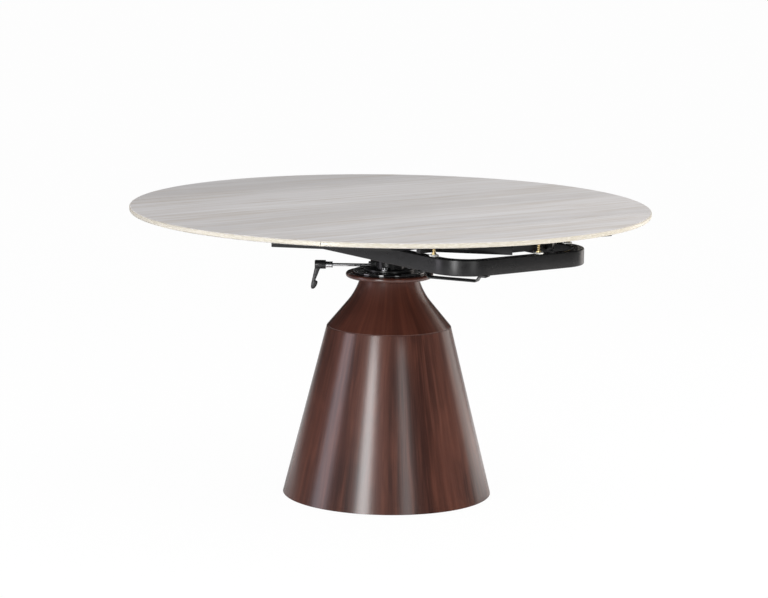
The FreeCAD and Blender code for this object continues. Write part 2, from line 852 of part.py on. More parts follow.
def lever_grip():
    """Moulded lever: a round head with an open chamber, and an arm that leans away from the hub."""
    rim = d.grip_radius - d.grip_edge_radius
    shoulder = d.grip_length - d.grip_edge_radius
    outline = [
        (0, 0),
        (d.grip_radius, 0),
        (d.grip_radius, shoulder, d.grip_edge_radius, 1),
        (rim, d.grip_length),
        (0, d.grip_length),
    ]
    head = turned("grip_head", outline)
    place(head, (grip_start, 0, clamp_axis), about(Y_AXIS, QUARTER_TURN))
    profile = [
        (d.arm_root_inner, 0),
        (d.arm_tip_inner, -d.arm_length),
        (d.arm_tip_outer, -d.arm_length),
        (d.arm_root_outer, 0),
    ]
    arm = padded("grip_arm", profile, d.arm_width, (grip_start, 0, clamp_axis), role="XZ_Plane", centred=True)
    rounded(arm, d.arm_edge_radius, lambda edge: True)
    body = fuse("grip_body", [head, arm])
    way = along_rod("grip_way", d.insert_hub_radius + d.running_clearance, grip_start - d.overrun, hub_end)
    chamber = along_rod("grip_chamber", d.spring_chamber_radius, hub_end,
                        grip_start + d.grip_length + d.overrun)
    node("lever_grip", cut("lever_grip", body, [way, chamber], about(Z_AXIS, CLAMP_DIRECTION)))


# Support loop


def rounded_slab(name, half_width, half_length, corner, low, height):
    """Pads a rectangle about the Z axis with rounded corners."""
    corners = mirrored([(half_width, half_length)])
    body = padded(name, corners, height, (0, 0, low))
    return rounded(body, corner, upright)


def tube_ring(name, inset, low, height):
    """Makes the loop's ring, its four faces moved inwards by an inset."""
    outer = rounded_slab(name + "_outer", d.loop_half_width - inset, loop_half_length - inset,
                         d.loop_corner_radius - inset, low, height)
    step = d.tube_width - inset
    inner = rounded_slab(name + "_inner", d.loop_half_width - step, loop_half_length - step,
                         d.loop_corner_radius - step, low - d.overrun, height + 2 * d.overrun)
    return cut(name, outer, [inner])


def support_loop():
    """Bent rectangular tube that carries the leaves."""
    outside = tube_ring("loop_outside", 0, loop_bottom, d.tube_height)
    inside = tube_ring("loop_inside", d.tube_wall, loop_bottom + d.tube_wall,
                       d.tube_height - 2 * d.tube_wall)
    node("support_loop", cut("support_loop", outside, [inside]))


def crossbars():
    """Two tubes across the loop, one each side of the spindle."""
    reach = d.loop_half_width - d.tube_width
    bars = []
    for index, side in enumerate((-1, 1)):
        name = "crossbar_%d" % index
        low = side * d.crossbar_offset - d.tube_width / 2
        bar = box(name, (2 * reach, d.tube_width, d.tube_height), (-reach, low, loop_bottom))
        inside = (2 * (reach + d.overrun), d.tube_width - 2 * d.tube_wall, d.tube_height - 2 * d.tube_wall)
        corner = (-reach - d.overrun, low + d.tube_wall, loop_bottom + d.tube_wall)
        bars.append(cut(name, bar, [box(name + "_inside", inside, corner)]))
    node("crossbars", group("crossbars", bars))


def corner_straps():
    """Bent straps under two opposite corners, from the long side to the end of the loop."""
    side_x = d.loop_half_width - d.tube_width / 2
    run_x = d.strap_end_setback - d.tube_width / 2
    run_y = d.strap_side_setback - d.tube_width / 2
    length = hypotenuse(run_x, run_y)
    foot = d.strap_foot
    slope = d.strap_foot + d.strap_bend
    under = d.strap_drop + d.strap_thickness
    profile = [
        (-foot, -d.strap_thickness),
        (foot, -d.strap_thickness),
        (slope, -under),
        (length - slope, -under),
        (length - foot, -d.strap_thickness),
        (length + foot, -d.strap_thickness),
        (length + foot, 0),
        (length - foot, 0),
        (length - slope, -d.strap_drop),
        (slope, -d.strap_drop),
        (foot, 0),
        (-foot, 0),
    ]
    heading = math.degrees(math.atan2(-run_y.value, run_x.value))
    straps = []
    for index, side in enumerate((-1, 1)):
        spot = (side * side_x, side * (loop_half_length - d.strap_side_setback), loop_bottom)
        turn = heading if side < 0 else heading + HALF_TURN
        straps.append(padded("strap_%d" % index, profile, d.strap_width, spot, about(Z_AXIS, turn),
                             role="XZ_Plane", centred=True))
    node("corner_straps", group("corner_straps", straps))


def bearing_plate():
    """Steel disc on the crossbars."""
    disc = cylinder("bearing_disc", d.bearing_plate_radius, d.bearing_plate_thickness, (0, 0, loop_top))
    hole = bore("bearing_plate", spindle_hole, loop_top, d.bearing_plate_thickness)
    node("bearing_plate", cut("bearing_plate", disc, [hole]))


def thrust_washer():
    """Nylon washer that the carrier turns on."""
    disc = cylinder("washer_disc", d.washer_radius, d.washer_thickness, (0, 0, bearing_plate_top))
    hole = bore("thrust_washer", spindle_hole, bearing_plate_top, d.washer_thickness)
    node("thrust_washer", cut("thrust_washer", disc, [hole]))


# Turning top


def make_carrier_screws():
    """Countersunk screws up through the carrier into the rails."""
    screws = []
    for x_side in (-1, 1):
        for y_side in (-1, 1):
            name = "carrier_screw_%d" % len(screws)
            spot = (x_side * d.rail_spacing / 2, y_side * d.carrier_screw_row_length / 2, washer_top)
            screws.append(screw(name, d.carrier_screw_radius, d.carrier_thickness + d.carrier_screw_depth,
                                d.carrier_screw_head_radius, d.carrier_screw_head_height, spot,
                                about(X_AXIS, HALF_TURN)))
    return node("carrier_screws", group("carrier_screws", screws))


def carrier_plate():
    """Square plate welded to the spindle."""
    low = (-d.carrier_size / 2, -d.carrier_size / 2, washer_top)
    plate = box("carrier_blank", (d.carrier_size, d.carrier_size, d.carrier_thickness), low)
    hole = bore("carrier_plate", d.spindle_radius, washer_top, d.carrier_thickness)
    node("carrier_plate", cut("carrier_plate", plate, [hole, carrier_screws]))


def spindle():
    """Turned steel spindle with a groove for its retaining ring."""
    groove_radius = d.spindle_radius - d.ring_depth
    groove_top = lower_bush_bottom - d.slide_clearance
    groove_bottom = groove_top - d.ring_thickness
    bottom = flange_top + d.spindle_end_gap
    outline = [
        (0, bottom),
        (d.spindle_radius, bottom),
        (d.spindle_radius, groove_bottom),
        (groove_radius, groove_bottom),
        (groove_radius, groove_top),
        (d.spindle_radius, groove_top),
        (d.spindle_radius, carrier_top),
        (0, carrier_top),
    ]
    node("spindle", turned("spindle", outline))
    ring = cylinder("ring_blank", d.ring_outer_radius, d.ring_thickness, (0, 0, groove_bottom))
    hole = bore("retaining_ring", groove_radius, groove_bottom, d.ring_thickness)
    node("retaining_ring", cut("retaining_ring", ring, [hole]))


def middle_frame():
    """Two cranked steel bars along the seams, which the cross rails join; the frame is open at its ends."""
    run_x = middle_frame_length - d.middle_frame_seam_length
    run_y = middle_frame_width - d.middle_frame_end_width
    slant = hypotenuse(run_x, run_y)
    bar = d.frame_bar_width
    outer = [
        (middle_frame_length, d.middle_frame_end_width),
        (d.middle_frame_seam_length, middle_frame_width),
    ]
    inner = [
        (middle_frame_length - bar, d.middle_frame_end_width - bar * (slant - run_y) / run_x),
        (d.middle_frame_seam_length - bar * (slant - run_x) / run_y, middle_frame_width - bar),
    ]
    ring = ringed("middle_frame", mirrored(outer), mirrored(inner), d.frame_height, frame_bottom)
    size = (3 * bar, 2 * d.middle_frame_end_width, d.frame_height + 2 * d.overrun)
    ends = []
    for index, start in enumerate((middle_frame_length - 2 * bar, -middle_frame_length - bar)):
        low = (start, -d.middle_frame_end_width, frame_bottom - d.overrun)
        ends.append(box("middle_frame_end_%d" % index, size, low))
    node("middle_frame", cut("middle_frame_open", ring, ends))


def cross_rails():
    """Two rails across the middle frame, on the carrier."""
    reach = middle_frame_width - d.frame_bar_width
    rails = []
    for index, side in enumerate((-1, 1)):
        low = (side * d.rail_spacing / 2 - d.rail_width / 2, -reach, carrier_top)
        rails.append(box("cross_rail_%d" % index, (d.rail_width, 2 * reach, board_bottom - carrier_top), low))
    rails_group = group("cross_rails_blank", rails)
    node("cross_rails", cut("cross_rails", rails_group, [carrier_screws]))


def middle_board():
    """Board bonded under the middle panel."""
    edge = seam - d.board_seam_setback
    outline = [
        (middle_frame_length, d.middle_frame_end_width),
        (d.middle_frame_seam_length, edge),
    ]
    board = padded("middle_board_blank", mirrored(outline), d.board_thickness, (0, 0, board_bottom))
    node("middle_board", cut("middle_board", board, fixed_hinge_screws))


def rim_rounded(body):
    """Rounds the rim of a stone piece above and below."""
    return rounded(body, d.slab_edge_radius, lambda edge: edge.Curve.TypeId == "Part::GeomCircle")


def middle_slab():
    """Middle panel of the stone top, between the seams."""
    edge = seam - d.seam_gap / 2
    reach = root(d.top_radius * d.top_radius - edge * edge)
    outline = [
        (-reach, -edge),
        (reach, -edge, d.top_radius, 1),
        (reach, edge),
        (-reach, edge, d.top_radius, 1),
    ]
    slab = padded("middle_slab", outline, d.slab_thickness, (0, 0, slab_bottom))
    node("middle_slab", rim_rounded(slab))


# Leaves, drawn for the near one and turned half round for the far one


def leaf_slab(name, rotation):
    """Stone leaf outside the seam, its two sharp tips eased."""
    edge = seam + d.seam_gap / 2
    reach = root(d.top_radius * d.top_radius - edge * edge)
    outline = [
        (-reach, -edge, d.top_radius, 1),
        (reach, -edge),
    ]
    slab = padded(name, outline, d.slab_thickness, (0, 0, slab_bottom), rotation)
    node(name, rim_rounded(eased(slab, d.slab_tip_ease, upright)))


def leaf_board(name, rotation):
    """Board bonded under a leaf."""
    edge = seam + d.board_seam_setback
    outline = [
        (d.leaf_board_seam_length, -edge),
        (-d.leaf_board_seam_length, -edge),
        (-d.leaf_board_end_length, -leaf_board_depth),
        (d.leaf_board_end_length, -leaf_board_depth),
    ]
    board = padded(name + "_blank", outline, d.board_thickness, (0, 0, board_bottom))
    studs = []
    for index, (x, y) in enumerate(glide_places()):
        studs.append(cylinder("%s_hole_%d" % (name, index), d.glide_stud_radius,
                              d.board_thickness + 2 * d.overrun, (x, y, board_bottom - d.overrun)))
    node(name, cut(name, board, studs, rotation))


def leaf_frame(name, screws, rotation):
    """Steel frame under a leaf: a seam bar, two slanted bars and a short bar set back from their ends."""
    near = seam + d.leaf_frame_setback
    run_x = leaf_frame_seam_length - d.leaf_frame_end_length
    run_y = leaf_frame_depth - near
    slant = hypotenuse(run_x, run_y)
    bar = d.frame_bar_width
    outer = [
        (leaf_frame_seam_length, -near),
        (-leaf_frame_seam_length, -near),
        (-d.leaf_frame_end_length, -leaf_frame_depth),
        (d.leaf_frame_end_length, -leaf_frame_depth),
    ]
    seam_corner = leaf_frame_seam_length - bar * run_y / (slant - run_x)
    end_corner = d.leaf_frame_end_length - bar * (slant - run_x) / run_y
    inner = [
        (seam_corner, -near - bar),
        (-seam_corner, -near - bar),
        (-end_corner, bar - leaf_frame_depth),
        (end_corner, bar - leaf_frame_depth),
    ]
    frame = ringed(name + "_blank", outer, inner, d.frame_height, frame_bottom)
    size = (2 * d.leaf_frame_end_length, 3 * bar, d.frame_height + 2 * d.overrun)
    low = (-d.leaf_frame_end_length, -leaf_frame_depth - bar, frame_bottom - d.overrun)
    slanted = cut(name + "_open", frame, [box(name + "_end", size, low)])
    seam_size = (2 * seam_bar_length, bar, d.frame_height)
    seam_bar = box(name + "_seam_bar", seam_size, (-seam_bar_length, -near - bar, frame_bottom))
    corners = []
    for depth, sign in ((leaf_frame_bar_depth, 1), (leaf_frame_bar_depth - bar, -1)):
        reach = d.leaf_frame_end_length + (leaf_frame_depth - depth) * run_x / run_y - bar * slant / run_y / 2
        corners += [(reach * sign, -depth), (-reach * sign, -depth)]
    short_bar = padded(name + "_short_bar", corners, d.frame_height, (0, 0, frame_bottom))
    node(name, cut(name, fuse(name, [slanted, seam_bar, short_bar]), screws, rotation))


def glide_places():
    """Returns where the near leaf's three glides stand, over the middle of the loop's tube."""
    side_x = d.loop_half_width - d.tube_width / 2
    end_y = loop_half_length - d.tube_width / 2
    return [
        (-side_x, -glide_side_place),
        (side_x, -glide_side_place),
        (d.glide_end_place, -end_y),
    ]


def leaf_glides(leaf, rotation):
    """Nylon feet, threaded studs and lock nuts of a leaf."""
    feet = []
    studs = []
    nuts = []
    foot_bottom = loop_top + d.slide_clearance
    stud_bottom = foot_bottom + d.glide_pad_thickness
    nut_bottom = board_bottom - d.glide_nut_height
    for index, (x, y) in enumerate(glide_places()):
        foot_name = "%s_foot_%d" % (leaf, index)
        feet.append(cylinder(foot_name, d.glide_pad_radius, d.glide_pad_thickness, (x, y, foot_bottom)))
        stud = cylinder("%s_stud_%d" % (leaf, index), d.glide_stud_radius, slab_bottom - stud_bottom,
                        (x, y, stud_bottom))
        studs.append(stud)
        nut = hexagon("%s_nut_blank_%d" % (leaf, index), d.glide_nut_radius, d.glide_nut_height,
                      (x, y, nut_bottom))
        nuts.append(cut("%s_nut_%d" % (leaf, index), nut, [stud]))
    node(leaf + "_glide_feet", group(leaf + "_glide_feet", feet, rotation))
    node(leaf + "_glide_studs", group(leaf + "_glide_studs", studs, rotation))
    node(leaf + "_lock_nuts", group(leaf + "_lock_nuts", nuts, rotation))


# Seam hinges, drawn along the near seam


def hinge_centres():
    """Returns the middle of each hinge along the seam."""
    return [step * d.hinge_pitch for step in (-1, 0, 1)]


def hinge_axis_height():
    """Returns the height of the hinge pins."""
    return slab_bottom - d.hinge_axis_drop


def barrel(name, radius, start, length):
    """Makes a cylinder on the hinge axis."""
    spot = (start, -seam, hinge_axis_height())
    return cylinder(name, radius, length, spot, about(Y_AXIS, QUARTER_TURN))


def hinge_tab(name, start, length, low_y, width):
    """Makes the tongue between a knuckle and its plate."""
    low = hinge_axis_height() - d.hinge_barrel_radius
    return box(name, (length, width, board_bottom - low), (start, low_y, low))


def fixed_hinges(side, rotation):
    """Hinge halves screwed under the middle board, with two knuckles each."""
    halves = []
    knuckle = d.hinge_knuckle_length
    near = d.hinge_barrel_radius + d.slide_clearance - seam
    for index, centre in enumerate(hinge_centres()):
        name = "%s_fixed_hinge_%d" % (side, index)
        start = centre - 1.5 * knuckle
        plate = box(name + "_plate", (3 * knuckle, d.hinge_fixed_plate_width, d.hinge_plate_thickness),
                    (start, near, board_bottom - d.hinge_plate_thickness))
        pieces = [plate]
        for place_index, shift in enumerate((0, 2)):
            begin = start + shift * knuckle
            pieces.append(barrel("%s_knuckle_%d" % (name, place_index), d.hinge_barrel_radius, begin,
                                 knuckle))
            pieces.append(hinge_tab("%s_tab_%d" % (name, place_index), begin, knuckle, -seam,
                                    d.hinge_barrel_radius + d.slide_clearance))
        pin_way = barrel(name + "_way", d.hinge_pin_radius, start - d.overrun, 3 * knuckle + 2 * d.overrun)
        halves.append(cut(name, fuse(name, pieces), [pin_way]))
    blank = group(side + "_fixed_hinges_blank", halves, rotation)
    screws = fixed_hinge_screws[0 if side == "near" else 1]
    node(side + "_fixed_hinges", cut(side + "_fixed_hinges", blank, [screws]))


def leaf_hinges(side, screws, rotation):
    """Hinge halves screwed to a leaf's frame, with one knuckle each."""
    halves = []
    knuckle = d.hinge_knuckle_length
    plate_back = seam + d.leaf_frame_setback
    for index, centre in enumerate(hinge_centres()):
        name = "%s_leaf_hinge_%d" % (side, index)
        plate = box(name + "_plate", (3 * knuckle, d.hinge_leaf_plate_thickness, d.hinge_leaf_plate_height),
                    (centre - 1.5 * knuckle, -plate_back, board_bottom - d.hinge_leaf_plate_height))
        begin = centre - knuckle / 2 + d.slide_clearance
        length = knuckle - 2 * d.slide_clearance
        ring = barrel(name + "_knuckle", d.hinge_barrel_radius, begin, length)
        tab = hinge_tab(name + "_tab", begin, length, -plate_back, d.leaf_frame_setback)
        pin_way = barrel(name + "_way", d.hinge_pin_radius + d.running_clearance, begin - d.overrun,
                         length + 2 * d.overrun)
        halves.append(cut(name, fuse(name, [plate, ring, tab]), [pin_way]))
    blank = group(side + "_leaf_hinges_blank", halves)
    node(side + "_leaf_hinges", cut(side + "_leaf_hinges", blank, screws, rotation))


def hinge_pins(side, rotation):
    """Pins through the knuckles of one seam."""
    knuckle = d.hinge_knuckle_length
    pins = []
    for index, centre in enumerate(hinge_centres()):
        name = "%s_hinge_pin_%d" % (side, index)
        pins.append(barrel(name, d.hinge_pin_radius, centre - 1.5 * knuckle, 3 * knuckle))
    node(side + "_hinge_pins", group(side + "_hinge_pins", pins, rotation))


def make_fixed_hinge_screws(side, rotation):
    """Countersunk screws up through the fixed plates of one seam into the middle board."""
    screws = []
    across = d.hinge_barrel_radius + d.slide_clearance + d.hinge_fixed_plate_width / 2 - seam
    for centre in hinge_centres():
        for shift in (-1, 1):
            name = "%s_fixed_screw_%d" % (side, len(screws))
            spot = (centre + shift * d.hinge_screw_side, across, board_bottom - d.hinge_plate_thickness)
            screws.append(screw(name, d.hinge_screw_radius, d.hinge_screw_length, d.hinge_screw_head_radius,
                                d.hinge_screw_head_height, spot, about(X_AXIS, HALF_TURN)))
    return group(side + "_fixed_hinge_screws", screws, rotation)


def leaf_hinge_screws(side, rotation):
    """Countersunk screws through a leaf's hinge plates into its frame, kept unturned as a cutting tool."""
    screws = []
    face = d.hinge_leaf_plate_thickness - seam - d.leaf_frame_setback
    height = board_bottom - d.hinge_leaf_plate_height / 2
    for centre in hinge_centres():
        for shift in (-1, 1):
            name = "%s_leaf_screw_%d" % (side, len(screws))
            spot = (centre + shift * d.hinge_screw_side, face, height)
            screws.append(screw(name, d.hinge_screw_radius, d.hinge_screw_length, d.hinge_screw_head_radius,
                                d.hinge_screw_head_height, spot, about(X_AXIS, -QUARTER_TURN)))
    tools = group(side + "_leaf_screw_tools", screws)
    node(side + "_hinge_screws", group(side + "_hinge_screws", [tools], rotation))
    return tools


def leaf(side, rotation):
    """Everything that turns with one leaf."""
    screws = leaf_hinge_screws(side, rotation)
    leaf_slab(side + "_slab", rotation)
    leaf_board(side + "_board", rotation)
    leaf_frame(side + "_frame", [screws], rotation)
    leaf_hinges(side, [screws], rotation)
    leaf_glides(side, rotation)


# The whole table

grip_start = d.insert_reach + d.insert_length
hub_end = grip_start + d.insert_hub_length
rod_end = d.insert_reach + d.rod_depth
sides = {"near": about(Z_AXIS, 0), "far": about(Z_AXIS, HALF_TURN)}

ballast_screws = make_ballast_screws()
foot_bolts = make_foot_bolts()
flange_screws = make_flange_screws()
hub_bolts = make_hub_bolts()
block_screws = make_block_screws()
carrier_screws = make_carrier_screws()
fixed_hinge_screws = [make_fixed_hinge_screws(side, rotation) for side, rotation in sides.items()]
node("fixed_hinge_screws", group("all_fixed_hinge_screws", fixed_hinge_screws))

floor_glides()
cone_shell()
base_ring()
ballast_and_column()
shoulder_board()
neck()
neck_cap()
top_flange()
hub_housing()
bushes()
hub_plate()
clamp_block()
clamp_pad()
clamp_rod()
stop_ring()
lever_insert()
lever_screw()
lever_grip()
support_loop()
crossbars()
corner_straps()
bearing_plate()
thrust_washer()
spindle()
carrier_plate()
middle_frame()
cross_rails()
middle_board()
middle_slab()
for side, rotation in sides.items():
    fixed_hinges(side, rotation)
    hinge_pins(side, rotation)
    leaf(side, rotation)

# Check every object, then write each sub-part

doc.recompute()
for thing in doc.Objects:
    if "Invalid" in thing.State or "Error" in thing.State:
        raise RuntimeError("%s did not build: %s" % (thing.Name, thing.State))
os.makedirs("parts", exist_ok=True)
for thing in nodes:
    shape = thing.Shape
    if shape.isNull() or not shape.isValid() or not shape.Solids:
        raise RuntimeError("%s has no valid solid" % thing.Label)
    shape.exportStep("parts/%s.step" % thing.Label)
    box_of = shape.BoundBox
    print("%-20s %2d solids, volume %12.1f, x %7.1f %7.1f, y %7.1f %7.1f, z %6.1f %6.1f" % (
        thing.Label, len(shape.Solids), shape.Volume, box_of.XMin, box_of.XMax, box_of.YMin, box_of.YMax,
        box_of.ZMin, box_of.ZMax))
print(len(nodes), "nodes")
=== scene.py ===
"""Looks of a round dining table: a veined stone top and its steel mechanism on a walnut cone pedestal."""
import logging
import math
from dataclasses import dataclass
from enum import Enum
from typing import Sequence

import bmesh
import bpy
from mathutils import Matrix, Vector


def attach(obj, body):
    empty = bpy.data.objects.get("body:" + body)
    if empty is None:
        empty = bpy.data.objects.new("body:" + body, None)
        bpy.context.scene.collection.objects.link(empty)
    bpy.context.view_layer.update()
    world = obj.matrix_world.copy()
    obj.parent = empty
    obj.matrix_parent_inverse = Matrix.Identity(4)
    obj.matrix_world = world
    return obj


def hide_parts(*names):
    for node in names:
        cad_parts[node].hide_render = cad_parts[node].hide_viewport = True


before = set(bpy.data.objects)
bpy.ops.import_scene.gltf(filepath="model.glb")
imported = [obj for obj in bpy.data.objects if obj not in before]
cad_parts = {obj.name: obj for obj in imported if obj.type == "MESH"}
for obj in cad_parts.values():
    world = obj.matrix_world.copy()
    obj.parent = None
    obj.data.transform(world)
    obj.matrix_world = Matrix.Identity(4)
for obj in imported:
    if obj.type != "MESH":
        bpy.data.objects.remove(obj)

LOG = logging.getLogger("table")
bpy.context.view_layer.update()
MM = 0.001
ROD_HEADING = math.radians(143.8)
ROD_HEIGHT = 0.6045
CAMERA_TURN = math.radians(-36.2)
MERGE_GAP = 2e-6
FLAT_ANGLE = math.radians(1.0)
EASED_ANGLE = math.radians(40.0)
EASED_STEPS = 2
BEAD_PITCH = 1.25
BEAD_SIZES = (0.8, 1.15)
BEAD_SEED = 7

Place = tuple[float, float, float]
Seat = tuple[Place, Place]
Colour = tuple[float, float, float]

UP: Place = (0.0, 0.0, 1.0)
DOWN: Place = (0.0, 0.0, -1.0)


# Shader maths


class Signal:
    """A value in a shader's sums, whose operators add Math nodes."""

    def __init__(self, sheet: "ShaderSheet", socket: bpy.types.NodeSocket) -> None:
        """Keeps the sheet and the socket that gives the value."""
        self.sheet = sheet
        self.socket = socket

    def __add__(self, other: "Signal | float") -> "Signal":
        """Returns self + other."""
        return self.sheet.sum("ADD", self, other)

    def __radd__(self, other: float) -> "Signal":
        """Returns other + self."""
        return self.sheet.sum("ADD", other, self)

    def __sub__(self, other: "Signal | float") -> "Signal":
        """Returns self - other."""
        return self.sheet.sum("SUBTRACT", self, other)

    def __rsub__(self, other: float) -> "Signal":
        """Returns other - self."""
        return self.sheet.sum("SUBTRACT", other, self)

    def __mul__(self, other: "Signal | float") -> "Signal":
        """Returns self * other."""
        return self.sheet.sum("MULTIPLY", self, other)

    def __rmul__(self, other: float) -> "Signal":
        """Returns other * self."""
        return self.sheet.sum("MULTIPLY", other, self)

    def __truediv__(self, other: "Signal | float") -> "Signal":
        """Returns self / other."""
        return self.sheet.sum("DIVIDE", self, other)

    def power(self, exponent: float) -> "Signal":
        """Returns self raised to an exponent."""
        return self.sheet.sum("POWER", self, exponent)

    def sine(self) -> "Signal":
        """Returns the sine of self in radians."""
        return self.sheet.sum("SINE", self, 0.0)

    def step(self, low: float, high: float) -> "Signal":
        """Returns a smooth step from 0 at low to 1 at high."""
        return self.sheet.add("ShaderNodeMapRange", {"interpolation_type": "SMOOTHSTEP"},
                              {0: self, 1: low, 2: high})


class ShaderSheet:
    """One material, or the air round the table, and the nodes drawn on it."""

    def __init__(self, name: str, air: bool = False) -> None:
        """Makes an empty sheet.

        Args:
            name: The material's name.
            air: Draws on the surroundings and not on a material.
        """
        self.holder = bpy.data.worlds.new(name) if air else bpy.data.materials.new(name)
        self.holder.use_nodes = True
        self.tree = self.holder.node_tree
        self.tree.nodes.clear()

    def add(self, kind: str, settings: dict | None = None, sockets: dict | None = None,
            output: int = 0) -> Signal:
        """Adds a node.

        Args:
            kind: The node's type.
            settings: Its settings, set before its sockets; "stops" holds a ramp's places and colours.
            sockets: Its inputs by name or number, each a value or a Signal.
            output: The number of the output to return.

        Returns:
            The chosen output.
        """
        node = self.tree.nodes.new(kind)
        for key, value in (settings or {}).items():
            if key == "stops":
                self._set_stops(node.color_ramp.elements, value)
            else:
                setattr(node, key, value)
        for key, value in (sockets or {}).items():
            self._feed(node.inputs[key], value)
        return Signal(self, node.outputs[output] if node.outputs else None)

    def _set_stops(self, elements: bpy.types.ColorRampElements,
                   stops: Sequence[tuple[float, Colour]]) -> None:
        """Gives a ramp its places and colours.

        Args:
            elements: The ramp's elements.
            stops: The places and colours.
        """
        while len(elements) < len(stops):
            elements.new(1.0)
        for element, (place, colour) in zip(elements, stops):
            element.position = place
            element.color = (*colour, 1.0)

    def _feed(self, socket: bpy.types.NodeSocket, value: "Signal | float | Sequence[float]") -> None:
        """Links or sets one input.

        Args:
            socket: The input.
            value: A Signal to link, or the value to set.
        """
        if isinstance(value, Signal):
            self.tree.links.new(value.socket, socket)
        elif socket.type == "RGBA":
            socket.default_value = (*value[:3], 1.0)
        else:
            socket.default_value = value

    def sum(self, operation: str, one: "Signal | float", other: "Signal | float") -> Signal:
        """Adds a Math node and returns its value."""
        return self.add("ShaderNodeMath", {"operation": operation}, {0: one, 1: other})

    def beside(self, value: Signal, *names: str) -> tuple[Signal, ...]:
        """Returns other outputs of a value's node by their names."""
        outputs = value.socket.node.outputs
        return tuple(Signal(self, outputs[name]) for name in names)

    def place(self) -> tuple[Signal, ...]:
        """Returns the point's x, y and z on the piece, in metres."""
        point = self.add("ShaderNodeTexCoord", output=3)
        return self.beside(self.add("ShaderNodeSeparateXYZ", sockets={0: point}), "X", "Y", "Z")

    def sight(self) -> tuple[Signal, Signal]:
        """Tells how the eye reaches a surface.

        Returns:
            1 for a ray seen straight or through a clear piece, and 1 for a mirrored ray.
        """
        rays = self.add("ShaderNodeLightPath")
        names = ("Is Camera Ray", "Is Glossy Ray", "Is Transmission Ray")
        straight, mirrored, through = self.beside(rays, *names)
        return straight + through, mirrored

    def vector(self, x: "Signal | float", y: "Signal | float", z: "Signal | float") -> Signal:
        """Returns a vector of three values."""
        return self.add("ShaderNodeCombineXYZ", sockets={0: x, 1: y, 2: z})

    def noise(self, vector: Signal, scale: float, detail: float = 3.0, roughness: float = 0.5,
              distortion: float = 0.0) -> Signal:
        """Returns noise between 0 and 1.

        Args:
            vector: Where the noise is read.
            scale: Features per metre, about.
            detail: Octaves.
            roughness: Weight of the finer octaves.
            distortion: How far the noise bends itself.

        Returns:
            The noise value.
        """
        return self.add("ShaderNodeTexNoise", {"noise_dimensions": "3D"},
                        {"Vector": vector, "Scale": scale, "Detail": detail, "Roughness": roughness,
                         "Distortion": distortion})

    def mix(self, factor: "Signal | float", one: "Signal | Colour", other: "Signal | Colour") -> Signal:
        """Returns a colour between two others."""
        return self.add("ShaderNodeMix", {"data_type": "RGBA"}, {0: factor, 6: one, 7: other}, output=2)

    def bump(self, height: Signal, distance: float, strength: float = 1.0) -> Signal:
        """Returns a normal from a height in units of distance metres."""
        return self.add("ShaderNodeBump",
                        sockets={"Height": height, "Distance": distance, "Strength": strength})

    def finish(self, **sockets: "Signal | float | Colour") -> bpy.types.Material:
        """Ends the sheet in a Principled shader.

        Args:
            sockets: The shader's inputs, with underscores for the spaces in their names.

        Returns:
            The finished material.
        """
        named = {key.replace("_", " "): value for key, value in sockets.items()}
        shader = self.add("ShaderNodeBsdfPrincipled", sockets=named)
        self.add("ShaderNodeOutputMaterial", sockets={0: shader})
        return self.holder


# Finishes


